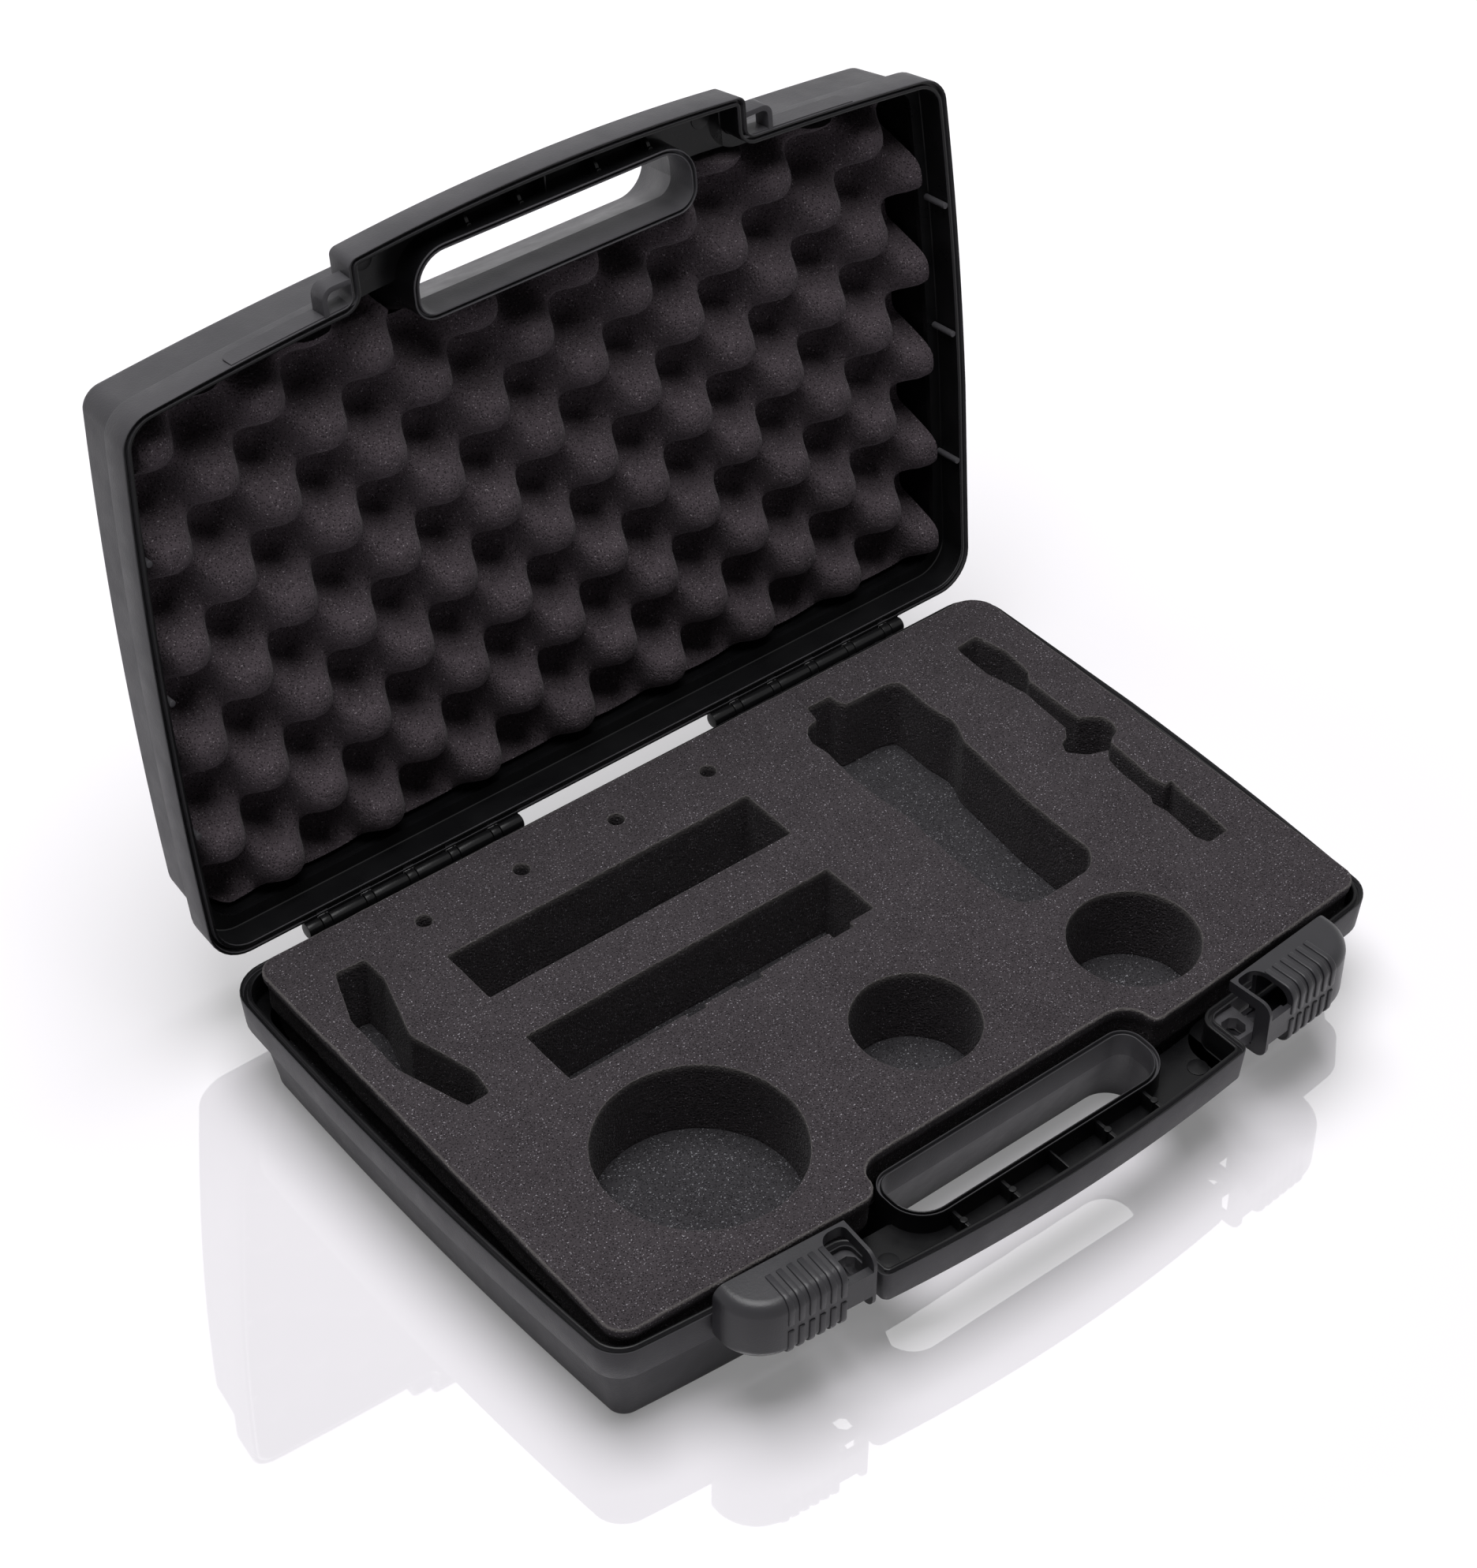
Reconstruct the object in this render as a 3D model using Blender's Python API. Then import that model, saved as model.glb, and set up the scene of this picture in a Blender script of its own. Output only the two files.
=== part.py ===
# Foam-lined carrying case: two shallow shells on a back hinge, a handle at the front
# and two sliding latches. Metres, +Z up. The origin is the centre of the resting face,
# +X runs to the right latch, -Y to the handle and +Y to the hinge.

import math

import bmesh
import bpy
from mathutils import Vector

# Case outline, seen from above
HALF_WIDTH = 0.170
HALF_DEPTH = 0.1098
CORNER_RADIUS = 0.014
CORNER_KEEP_SHARE = 0.5
SIDE_BOW_SHARE = 0.0199
SIDE_TAPER_SHARE = 0.0084
FRONT_BOW = 0.01014

# Shell heights and walls
RIM_Z = 0.0421
LID_DEPTH = 0.038
BAND_HEIGHT = 0.0131
BAND_DRAFT = 0.001
WALL = 0.0022
RIM_WIDTH = 0.0034
STEP_INSET = 0.0043
EDGE_INSET = 0.009
EDGE_RADIUS = 0.003
CLOSED_GAP = 0.0003
GROOVE_WIDTH = 0.0012
GROOVE_DEPTH = 0.0016

# Handle and finger slot
HANDLE_HALF = 0.079
HANDLE_OUT = 0.0207
HANDLE_FRONT = HALF_DEPTH + HANDLE_OUT
HANDLE_BOW = 0.0048
HANDLE_RADIUS = 0.003
LID_HANDLE_DEPTH = 0.0155
SLOT_END_WIDTH = 0.0245
SLOT_DEPTH = 0.0207
SLOT_OUT = 0.0031
SLOT_HALF = HANDLE_HALF - SLOT_END_WIDTH
SLOT_FRONT = HALF_DEPTH + SLOT_OUT
SLOT_BACK = SLOT_FRONT - SLOT_DEPTH
SLOT_FRONT_RADIUS = 0.011
SLOT_BACK_RADIUS = 0.006
SLOT_STRAIGHT = 0.012
SLOT_LEAN_BACK = 0.0115
SLOT_LEAN_END = 0.0078
SLOT_LEAN_RADIUS = 0.0055
BASE_SLOT_LIP = 0.0024
LID_SLOT_LIP = 0
RIB_WIDTH = 0.0012
RIB_DROP = 0.0048
FIN_REACH = 0.0025
FIN_CHAMFER = 0.0018

# Ribs across the handle and fins on the slot tube, as shares of half the slot's length
BASE_RIB_SHARES = (-0.76, -0.38, 0, 0.38, 0.76)
LID_RIB_SHARES = (0,)
LID_FIN_SHARES = (-0.569, -0.189, 0.38, 0.767)

# Latch loops beside the handle
LOOP_LENGTH = 0.0105
LOOP_OUT = 0.0064
LOOP_ROOT = 0.0037
LOOP_REACH = HANDLE_HALF + LOOP_LENGTH
LOOP_FRONT = HALF_DEPTH + LOOP_OUT
LOOP_BACK = HALF_DEPTH - LOOP_ROOT
LOOP_ARM = 0.002
LOOP_RADIUS = 0.005
LOOP_HEIGHT = 0.0071

# Hinge
HINGE_OUT = 0.0031
HINGE_Y = HALF_DEPTH + HINGE_OUT
KNUCKLE_RADIUS = 0.0028
KNUCKLE_PITCH = 0.0178
KNUCKLE_COUNT = 5
RING_LENGTH = 0.0034
HINGE_LENGTH = 0.09
HINGE_END_MARGIN = 0.037
FIRST_RING_OFFSET = 0.0112
HINGE_END = HALF_WIDTH - HINGE_END_MARGIN
HINGE_START = HINGE_END - HINGE_LENGTH
KNUCKLE_FIRST_X = HINGE_START + FIRST_RING_OFFSET
WEB_HEIGHT = 0.006
WEB_END_INSET = 0.0002
PIN_RADIUS = 0.0012
PIN_CLEARANCE = 0.00006
PIN_END_GAP = 0.0006
LID_OPEN_DEG = 96.8

# Latches
LATCH_OUT = 0.0268
LATCH_ABOVE_RIM = 0.0009
LATCH_MID_X = HANDLE_HALF + LATCH_OUT
LATCH_MID_Z = RIM_Z + LATCH_ABOVE_RIM
LATCH_LENGTH = 0.049
LATCH_DEPTH = 0.018
LATCH_HALF_HEIGHT = 0.012
LATCH_EDGE_RADIUS = 0.0045
LATCH_DOME_RADIUS = 0.016
LATCH_SKIN = 0.002
LATCH_BACK = 0.0016
FLANGE = 0.0013
WINDOW_LENGTH = 0.010
OPENING_LENGTH = 0.0113
OPENING_DEPTH = 0.0118
OPENING_LOW = 0.009
OPENING_HIGH = 0.0075
BAR_DEPTH = 0.003
BAR_HALF_HEIGHT = 0.0055
GRIP_PITCH = 0.00395
GRIP_WIDTH = 0.0022
GRIP_RISE = 0.0005
GRIP_COUNT = 6
GRIP_BACK = 0.0015
GRIP_MID_GAP = 0.0011
LATCH_WALL_GAP = 0.0004
RIGHT_LATCH_SHIFT = 0.0045
RAIL_INNER = 0.0018
RAIL_OUTER = 0.0102
RAIL_START = LATCH_MID_X - RAIL_INNER
RAIL_END = LATCH_MID_X + RAIL_OUTER
RAIL_HEAD = 0.0019
RAIL_HEAD_LOW = 0.0083
RAIL_HEAD_HIGH = 0.0015
RAIL_NECK_LOW = 0.0063
RAIL_NECK_HIGH = 0.0033
RAIL_CLEARANCE = 0.0004
RAIL_NECK_INSET = 0.0004

# Foam in the base
FOAM_TOP = 0.0472
FOAM_LAYER = 0.030
FOAM_SIDE_GAP = 0.0066
FOAM_EDGE_GAP = 0.0034
FOAM_GAP = 0.0003
FOAM_SLOT_GAP = 0.0018
FOAM_TOP_INSET = 0.0051
FOAM_TOP_WIDTH_SHARE = 0.994
FOAM_TOP_SHIFT_X = 0.0017
FOAM_TOP_SHIFT_Y = 0.001

# Round pockets: centre as shares of the half width and half depth, radius of the half depth
ROUND_POCKET_SHARES = {
    "large": (-0.5429, -0.4608, 0.3224),
    "middle": (-0.0129, -0.469, 0.2031),
    "right": (0.4771, -0.6184, 0.2104),
}
PIN_HOLE_FIRST_SHARE = -0.5971
PIN_HOLE_PITCH_SHARE = 0.2409
PIN_HOLE_COUNT = 4
PIN_HOLE_BACK_SHARE = 0.8015
PIN_HOLE_RADIUS = 0.003

# Outlines of the shaped pockets, as shares of the half width and half depth
BACK_SLOT_SHARES = (
    (-0.62, 0.4053), (0.1412, 0.4053), (0.1412, 0.633), (-0.62, 0.633))
MIDDLE_SLOT_SHARES = (
    (-0.6294, -0.0169), (-0.3517, -0.0169), (-0.3517, -0.0344), (-0.3054, -0.0344),
    (-0.3054, -0.0169), (-0.2265, -0.0169), (-0.2265, -0.0344), (-0.165, -0.0344),
    (-0.165, -0.0169), (0.0118, -0.0169), (0.0118, -0.0419), (0.0649, -0.0419),
    (0.0649, -0.0169), (0.1294, -0.0169), (0.1294, 0.2077), (-0.6294, 0.2077))
LEFT_POCKET_SHARES = (
    (-0.8724, 0.3364), (-0.8217, 0.0856), (-0.7686, 0.0856), (-0.7602, 0.1901),
    (-0.8, 0.427), (-0.7518, 0.6709), (-0.7518, 0.7754), (-0.8181, 0.7823),
    (-0.8639, 0.5872))
TOOL_POCKET_SHARES = (
    (0.4079, -0.3142), (0.54, -0.3142), (0.5859, -0.2448), (0.5888, -0.0943),
    (0.6003, 0.2761), (0.6117, 0.4035), (0.6347, 0.4961), (0.629, 0.7276), (0.606, 0.7739),
    (0.4854, 0.7855), (0.4797, 0.8434), (0.4165, 0.8434), (0.4165, 0.7855), (0.3649, 0.7739),
    (0.3534, 0.6929), (0.3505, 0.4845), (0.3591, 0.2298), (0.3476, -0.1174),
    (0.3591, -0.2448))
OUTER_RIGHT_SHARES = (
    (0.7938, -0.4499), (0.8477, -0.4499), (0.8562, -0.3397), (0.8619, -0.1682),
    (0.8406, -0.1559), (0.8491, 0.1013), (0.893, 0.1503), (0.8902, 0.2116), (0.8505, 0.2483),
    (0.8505, 0.4933), (0.8704, 0.5301), (0.8775, 0.6526), (0.8604, 0.775), (0.8009, 0.7628),
    (0.7938, 0.6158), (0.8151, 0.4566), (0.8052, 0.2361), (0.7655, 0.1871), (0.7711, 0.1136),
    (0.8293, 0.0768), (0.7995, -0.0212), (0.7896, -0.2172), (0.7825, -0.4009))

# Lid foam: bumps on a chequered grid
EGG_HALF_PERIOD = 0.0186
EGG_RISE = 0.0085
EGG_PEAK_BELOW_RIM = 0.006
EGG_PEAK_X = 0.1598
EGG_PEAK_Y = 0.0204
EGG_CELLS_PER_HALF_PERIOD = 2
LID_FOAM_INSET = 0.0098
LID_FOAM_EDGE = 0.0028
LID_FOAM_TAPER = 0.0135

# Facet counts
CORNER_STEPS = 5
SIDE_STEPS = 6
FRONT_STEPS = 8
EDGE_STEPS = 3
ROUND_STEPS = 16
POCKET_STEPS = 32

# Materials: base colour, roughness, metallic
SHELL_LOOK = ((0.035, 0.035, 0.038), 0.45, 0)
LATCH_LOOK = ((0.04, 0.04, 0.042), 0.4, 0)
FOAM_LOOK = ((0.06, 0.056, 0.058), 0.95, 0)
LID_FOAM_LOOK = ((0.08, 0.076, 0.08), 0.95, 0)
PIN_LOOK = ((0.5, 0.5, 0.5), 0.35, 1)

for old in list(bpy.data.objects):
    bpy.data.objects.remove(old, do_unlink=True)

parts = bpy.data.collections.new("foam_lined_case")
tools = bpy.data.collections.new("cutters")
bpy.context.scene.collection.children.link(parts)
bpy.context.scene.collection.children.link(tools)


def make_material(name, look):
    colour, roughness, metallic = look
    material = bpy.data.materials.new(name)
    material.use_nodes = True
    shader = material.node_tree.nodes["Principled BSDF"]
    shader.inputs["Base Color"].default_value = (*colour, 1)
    shader.inputs["Roughness"].default_value = roughness
    shader.inputs["Metallic"].default_value = metallic
    material.diffuse_color = (*colour, 1)
    return material


def add_object(name, bm, material=None, parent=None):
    """Make an object of a bmesh: a part if it has a material, else a hidden cutter."""
    bmesh.ops.recalc_face_normals(bm, faces=bm.faces)
    if bm.calc_volume(signed=True) < 0:
        bmesh.ops.reverse_faces(bm, faces=bm.faces)
    mesh = bpy.data.meshes.new(name)
    bm.to_mesh(mesh)
    bm.free()
    item = bpy.data.objects.new(name, mesh)
    item.parent = parent
    if material:
        mesh.materials.append(material)
        parts.objects.link(item)
    else:
        tools.objects.link(item)
        item.hide_render = True
        item.display_type = "WIRE"
    return item


def combine(target, other, operation):
    modifier = target.modifiers.new(other.name, "BOOLEAN")
    modifier.operation = operation
    modifier.solver = "EXACT"
    modifier.object = other


def loft(bm, sections):
    """Close a stack of outlines that have the same number of points."""
    rings = [[bm.verts.new(point) for point in section] for section in sections]
    count = len(rings[0])
    for low, high in zip(rings, rings[1:]):
        for i in range(count):
            j = (i + 1) % count
            bm.faces.new((low[i], low[j], high[j], high[i]))
    bm.faces.new(list(reversed(rings[0])))
    bm.faces.new(rings[-1])


def loft_object(name, sections, material=None, parent=None):
    bm = bmesh.new()
    loft(bm, sections)
    return add_object(name, bm, material, parent)


def add_box(bm, low, high):
    centre = (Vector(low) + Vector(high)) / 2
    size = Vector(high) - Vector(low)
    made = bmesh.ops.create_cube(bm, size=1)["verts"]
    bmesh.ops.scale(bm, vec=size, verts=made)
    bmesh.ops.translate(bm, vec=centre, verts=made)


def add_rod(bm, start, end, radius, steps):
    """A cylinder along X between two points of one height and depth."""
    length = abs(end[0] - start[0])
    made = bmesh.ops.create_cone(
        bm, cap_ends=True, segments=steps, radius1=radius, radius2=radius, depth=length)["verts"]
    bmesh.ops.rotate(bm, verts=made, matrix=turn_to_x)
    bmesh.ops.translate(bm, vec=(Vector(start) + Vector(end)) / 2, verts=made)


turn_to_x = Vector((0, 0, 1)).rotation_difference(Vector((1, 0, 0))).to_matrix()


def rounded_outline(half_x, front, back, front_radius, back_radius, fills=(1, 1, 1, 1)):
    """Anticlockwise rectangle with round corners, and extra points on its four sides."""
    corners = (
        (half_x - back_radius, back - back_radius, back_radius),
        (back_radius - half_x, back - back_radius, back_radius),
        (front_radius - half_x, front + front_radius, front_radius),
        (half_x - front_radius, front + front_radius, front_radius))
    arcs = []
    for quarter, (x, y, radius) in enumerate(corners):
        angles = [math.pi / 2 * (quarter + step / CORNER_STEPS) for step in range(CORNER_STEPS + 1)]
        arcs.append([(x + radius * math.cos(a), y + radius * math.sin(a)) for a in angles])
    points = []
    for side, arc in enumerate(arcs):
        points += arc
        x0, y0 = arc[-1]
        x1, y1 = arcs[(side + 1) % len(arcs)][0]
        steps = fills[side]
        points += [(x0 + (x1 - x0) * i / steps, y0 + (y1 - y0) * i / steps) for i in range(1, steps)]
    return points


def front_wall_y(x):
    return -HALF_DEPTH + FRONT_BOW * (x / HALF_WIDTH) ** 2


def case_section(inset, z):
    """The case outline at an inset: sides that swell a little and a bowed front."""
    radius = CORNER_RADIUS - CORNER_KEEP_SHARE * inset
    outline = rounded_outline(
        HALF_WIDTH - inset, inset - HALF_DEPTH, HALF_DEPTH - inset, radius, radius,
        (1, SIDE_STEPS, FRONT_STEPS, SIDE_STEPS))
    section = []
    for x, y in outline:
        v = y / HALF_DEPTH
        width = 1 - SIDE_BOW_SHARE * v * v + SIDE_TAPER_SHARE * v
        bow = FRONT_BOW * (x / HALF_WIDTH) ** 2 * max(0, -v)
        section.append((x * width, y + bow, z))
    return section


def handle_section(inset, z):
    """The handle outline, with its back inside the case and its front bowed."""
    back = inset - SLOT_BACK
    front = inset - HANDLE_FRONT
    outline = rounded_outline(
        HANDLE_HALF - inset, front, back, HANDLE_RADIUS, HANDLE_RADIUS, (1, 1, FRONT_STEPS, 1))
    section = []
    for x, y in outline:
        share = (back - y) / (back - front)
        section.append((x, y + HANDLE_BOW * (x / HANDLE_HALF) ** 2 * share, z))
    return section


def slot_section(grow, z, lean=0):
    """The finger slot's outline, with its back and ends moved out by a share of their lean."""
    outline = rounded_outline(
        SLOT_HALF + grow + lean * SLOT_LEAN_END, -SLOT_FRONT - grow,
        -SLOT_BACK + grow + lean * SLOT_LEAN_BACK, SLOT_FRONT_RADIUS + grow,
        SLOT_BACK_RADIUS + grow + lean * SLOT_LEAN_RADIUS)
    return [(x, y, z) for x, y in outline]


def slot_stack(grow, rim_z, depth, up, top):
    """Upright near the rim, then leaning away from the fingers down to the shell's outside."""
    return [
        slot_section(grow, rim_z + up * (depth + WALL), 1),
        slot_section(grow, rim_z + up * SLOT_STRAIGHT), slot_section(grow, top)]


def edge_sections(section, inset, radius, z, up):
    """Sections of a rounded edge that ends flat at height z."""
    made = []
    for step in range(EDGE_STEPS + 1):
        angle = math.pi / 2 * step / EDGE_STEPS
        made.append(section(inset + radius * (1 - math.sin(angle)), z + up * radius * (1 - math.cos(angle))))
    return made


# Heights are counted from the rim, so one function makes both shells:
# up is -1 for the base, which hangs below its rim, and 1 for the lid.
def make_shell(name, rim_z, depth, handle_depth, slot_lip, up, material, parent):
    low = rim_z + up * depth
    band = rim_z + up * BAND_HEIGHT
    past = rim_z - up * WALL
    outer = edge_sections(case_section, EDGE_INSET, EDGE_RADIUS, low, -up)
    outer += [case_section(STEP_INSET, band), case_section(BAND_DRAFT, band), case_section(0, rim_z)]
    shell = loft_object(name, outer, material, parent)

    handle_low = rim_z + up * handle_depth
    handle = loft_object(
        name + "_handle", [handle_section(BAND_DRAFT, handle_low), handle_section(0, rim_z)], None, parent)
    combine(shell, handle, "UNION")

    floor = low - up * WALL
    ledge = band - up * WALL
    inner = [
        case_section(EDGE_INSET + EDGE_RADIUS, floor),
        case_section(EDGE_INSET + WALL, floor - up * EDGE_RADIUS),
        case_section(STEP_INSET + WALL, ledge),
        case_section(RIM_WIDTH, ledge),
        case_section(RIM_WIDTH, past)]
    cavity = loft_object(name + "_cavity", inner, None, parent)
    bay_low = handle_low - up * WALL
    bay = loft_object(
        name + "_handle_bay",
        [handle_section(RIM_WIDTH, bay_low), handle_section(RIM_WIDTH, past)], None, parent)
    combine(cavity, bay, "UNION")
    tube_top = rim_z + up * slot_lip
    tube = loft_object(name + "_tube", slot_stack(WALL, rim_z, depth, up, tube_top), None, parent)
    combine(cavity, tube, "DIFFERENCE")
    combine(shell, cavity, "DIFFERENCE")

    slot = loft_object(name + "_slot", slot_stack(0, rim_z, depth, up, past), None, parent)
    combine(shell, slot, "DIFFERENCE")
    add_groove(name, shell, rim_z, past, up, parent)
    add_handle_ribs(name, shell, rim_z, bay_low, up, parent)
    if up > 0:
        add_tube_fins(name, shell, rim_z, bay_low, up, parent)
    add_loops(name, shell, rim_z, up, parent)
    return shell


def add_groove(name, shell, rim_z, past, up, parent):
    """A groove along the middle of the rim."""
    edge = (RIM_WIDTH - GROOVE_WIDTH) / 2
    bottom = rim_z + up * GROOVE_DEPTH
    groove = loft_object(
        name + "_groove", [case_section(edge, bottom), case_section(edge, past)], None, parent)
    wide = loft_object(
        name + "_groove_handle", [handle_section(edge, bottom), handle_section(edge, past)], None, parent)
    deep = bottom + up * GROOVE_DEPTH
    high = past - up * GROOVE_DEPTH
    edge += GROOVE_WIDTH
    core = loft_object(
        name + "_groove_core", [case_section(edge, deep), case_section(edge, high)], None, parent)
    core_wide = loft_object(
        name + "_groove_core_handle", [handle_section(edge, deep), handle_section(edge, high)], None, parent)
    combine(groove, wide, "UNION")
    combine(groove, core, "DIFFERENCE")
    combine(groove, core_wide, "DIFFERENCE")
    combine(shell, groove, "DIFFERENCE")


def add_handle_ribs(name, shell, rim_z, bay_low, up, parent):
    """Cross ribs between the slot tube and the front wall of the handle."""
    bm = bmesh.new()
    back = -SLOT_FRONT - WALL / 2
    top = rim_z + up * RIB_DROP
    floor = bay_low + up * WALL / 2
    for share in LID_RIB_SHARES if up > 0 else BASE_RIB_SHARES:
        x = share * SLOT_HALF
        front = -HANDLE_FRONT + HANDLE_BOW * (x / HANDLE_HALF) ** 2 + RIM_WIDTH / 2
        add_box(
            bm, (x - RIB_WIDTH / 2, front, min(top, floor)), (x + RIB_WIDTH / 2, back, max(top, floor)))
    ribs = add_object(name + "_handle_ribs", bm, None, parent)
    combine(shell, ribs, "UNION")


def add_tube_fins(name, shell, rim_z, bay_low, up, parent):
    """Short fins with a cut corner on the front of the slot tube."""
    root = -SLOT_FRONT - WALL / 2
    tip = -SLOT_FRONT - WALL - FIN_REACH
    top = rim_z + up * RIB_DROP
    floor = bay_low + up * WALL / 2
    cut = top + up * FIN_CHAMFER
    profile = [(root, floor), (tip, floor), (tip, cut), (tip + FIN_CHAMFER, top), (root, top)]
    for index, share in enumerate(LID_FIN_SHARES):
        x = share * SLOT_HALF
        sections = [[(x + half, y, z) for y, z in profile] for half in (-RIB_WIDTH / 2, RIB_WIDTH / 2)]
        fin = loft_object("%s_fin_%d" % (name, index), sections, None, parent)
        combine(shell, fin, "UNION")


def add_loops(name, shell, rim_z, up, parent):
    """A bent bar beside each end of the handle, for the latch to slide over."""
    far = rim_z + up * LOOP_HEIGHT
    for side, side_name in ((-1, "left"), (1, "right")):
        rings = []
        for shrink in (0, LOOP_ARM):
            radius = LOOP_RADIUS - shrink
            outline = rounded_outline(
                LOOP_REACH - shrink, shrink - LOOP_FRONT, -LOOP_BACK, radius, radius)
            rings.append([(x, y) for x, y in outline if x * side > 0])
        start = HANDLE_HALF - RIM_WIDTH / 2
        loop = None
        spans = ((rings[0], rim_z, far), (rings[1], rim_z - up * LOOP_ARM, far + up * LOOP_ARM))
        for ring, z0, z1 in spans:
            outline = loop_outline(ring, side, start)
            solid = loft_object(
                "%s_%s_loop%s" % (name, side_name, "_hole" if loop else ""),
                [[(x, y, z) for x, y in outline] for z in (z0, z1)], None, parent)
            if loop:
                combine(loop, solid, "DIFFERENCE")
            else:
                loop = solid
        combine(shell, loop, "UNION")


def loop_outline(ring, side, start):
    """Keep the round front corner and run it back into the two walls it joins."""
    front = min(y for x, y in ring)
    reach = max(abs(x) for x, y in ring)
    corner = sorted((p for p in ring if p[1] < front + LOOP_RADIUS), key=lambda p: abs(p[0]))
    corner = [p for p in corner if abs(p[0]) > reach - LOOP_RADIUS - GROOVE_WIDTH]
    return [(side * start, front)] + corner + [(side * reach, -LOOP_BACK), (side * start, -LOOP_BACK)]


def add_knuckles(name, shell, spans, rim_z, up, parent):
    """Hinge barrels on short webs behind the shell, bored for the pin."""
    for side, side_name in ((-1, "left"), (1, "right")):
        bm = bmesh.new()
        for start, end in spans:
            add_rod(
                bm, (side * start, HINGE_Y, RIM_Z), (side * end, HINGE_Y, RIM_Z), KNUCKLE_RADIUS,
                ROUND_STEPS)
        barrels = add_object("%s_%s_barrels" % (name, side_name), bm, None, parent)
        bm = bmesh.new()
        near = rim_z + up * CLOSED_GAP
        far = RIM_Z + up * WEB_HEIGHT
        back = HINGE_Y + KNUCKLE_RADIUS / 3
        for start, end in spans:
            low_x, high_x = sorted((side * (start + WEB_END_INSET), side * (end - WEB_END_INSET)))
            add_web(bm, low_x, high_x, near, far, back)
        webs = add_object("%s_%s_webs" % (name, side_name), bm, None, parent)
        bm = bmesh.new()
        add_rod(
            bm, (side * (HINGE_START - WALL), HINGE_Y, RIM_Z), (side * (HINGE_END + WALL), HINGE_Y, RIM_Z),
            PIN_RADIUS + PIN_CLEARANCE, ROUND_STEPS)
        bore = add_object("%s_%s_bore" % (name, side_name), bm, None, parent)
        combine(shell, webs, "UNION")
        combine(shell, barrels, "UNION")
        combine(shell, bore, "DIFFERENCE")


def add_web(bm, low_x, high_x, near, far, back):
    """A wedge from the back wall to the barrel, as wide as the barrel is long."""
    inside = HALF_DEPTH - WALL
    profile = ((inside, near), (back, near), (inside, far))
    loft(bm, [[(x, y, z) for y, z in profile] for x in (low_x, high_x)])


def latch_section(inset, z, side, low_u=0, back=0):
    """A latch seen from above: straight back, flange end square, outer end domed."""
    front = LATCH_DEPTH - inset
    length = LATCH_LENGTH - inset
    radius = LATCH_DOME_RADIUS - inset
    points = [(low_u, back), (low_u, front)]
    for step in range(2 * CORNER_STEPS + 1):
        angle = math.pi / 2 * step / (2 * CORNER_STEPS)
        points.append((length - radius + radius * math.sin(angle), front - radius + radius * math.cos(angle)))
    points.append((length, back))
    return [(side * (u - LATCH_LENGTH / 2), -w, z) for u, w in points]


def latch_stack(side, grow, low_u, back):
    """Sections from the bottom to the top of a latch, with round edges."""
    bottom = edge_sections(
        lambda inset, z: latch_section(inset - grow, z, side, low_u, back), 0, LATCH_EDGE_RADIUS,
        -LATCH_HALF_HEIGHT - grow, 1)
    top = edge_sections(
        lambda inset, z: latch_section(inset - grow, z, side, low_u, back), 0, LATCH_EDGE_RADIUS,
        LATCH_HALF_HEIGHT + grow, -1)
    return bottom + list(reversed(top))


def latch_box(bm, side, u, w, z):
    xs = sorted(side * (value - LATCH_LENGTH / 2) for value in u)
    ys = sorted(-value for value in w)
    add_box(bm, (xs[0], ys[0], z[0]), (xs[1], ys[1], z[1]))


def place_latch(name, side, shift):
    """An empty on the slide axis, turned to follow the bowed front wall."""
    slope = 2 * FRONT_BOW * LATCH_MID_X / HALF_WIDTH ** 2
    turn = math.atan(slope)
    empty = bpy.data.objects.new(name, None)
    parts.objects.link(empty)
    empty.rotation_euler = (0, 0, side * turn)
    out = Vector((side * math.cos(turn), math.sin(turn), 0))
    start = Vector((side * LATCH_MID_X, front_wall_y(LATCH_MID_X) - LATCH_WALL_GAP, LATCH_MID_Z))
    empty.location = start + out * shift
    return empty


def make_latch(name, side, shift, material):
    holder = place_latch(name + "_slide", side, shift)
    shell_end = FLANGE + WINDOW_LENGTH
    latch = loft_object(name, latch_stack(side, 0, 0, 0), material, holder)

    hollow = loft_object(
        name + "_hollow", latch_stack(side, -LATCH_SKIN, shell_end - LATCH_SKIN, LATCH_BACK), None, holder)
    combine(latch, hollow, "DIFFERENCE")

    bm = bmesh.new()
    tall = LATCH_HALF_HEIGHT + LATCH_SKIN
    latch_box(bm, side, (FLANGE, shell_end), (FLANGE, LATCH_DEPTH + LATCH_SKIN), (-tall, tall))
    window = add_object(name + "_window", bm, None, holder)
    bm = bmesh.new()
    latch_box(
        bm, side, (FLANGE / 2, shell_end + FLANGE / 2),
        (LATCH_DEPTH - BAR_DEPTH, LATCH_DEPTH + 2 * LATCH_SKIN), (-BAR_HALF_HEIGHT, BAR_HALF_HEIGHT))
    bar = add_object(name + "_bar", bm, None, holder)
    combine(window, bar, "DIFFERENCE")
    combine(latch, window, "DIFFERENCE")

    bm = bmesh.new()
    latch_box(
        bm, side, (-FLANGE, FLANGE + OPENING_LENGTH), (-FLANGE, OPENING_DEPTH), (-OPENING_LOW, OPENING_HIGH))
    opening = add_object(name + "_opening", bm, None, holder)
    combine(latch, opening, "DIFFERENCE")

    bm = bmesh.new()
    travel_end = RAIL_END - LATCH_MID_X + LATCH_LENGTH / 2 + LATCH_SKIN + RAIL_CLEARANCE
    latch_box(
        bm, side, (shell_end, travel_end), (-LATCH_SKIN, LATCH_BACK + RAIL_CLEARANCE),
        (-RAIL_NECK_LOW - RAIL_CLEARANCE, -RAIL_NECK_HIGH + RAIL_CLEARANCE))
    rail_slot = add_object(name + "_rail_slot", bm, None, holder)
    combine(latch, rail_slot, "DIFFERENCE")
    add_grips(name, latch, side, holder)
    return latch


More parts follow.
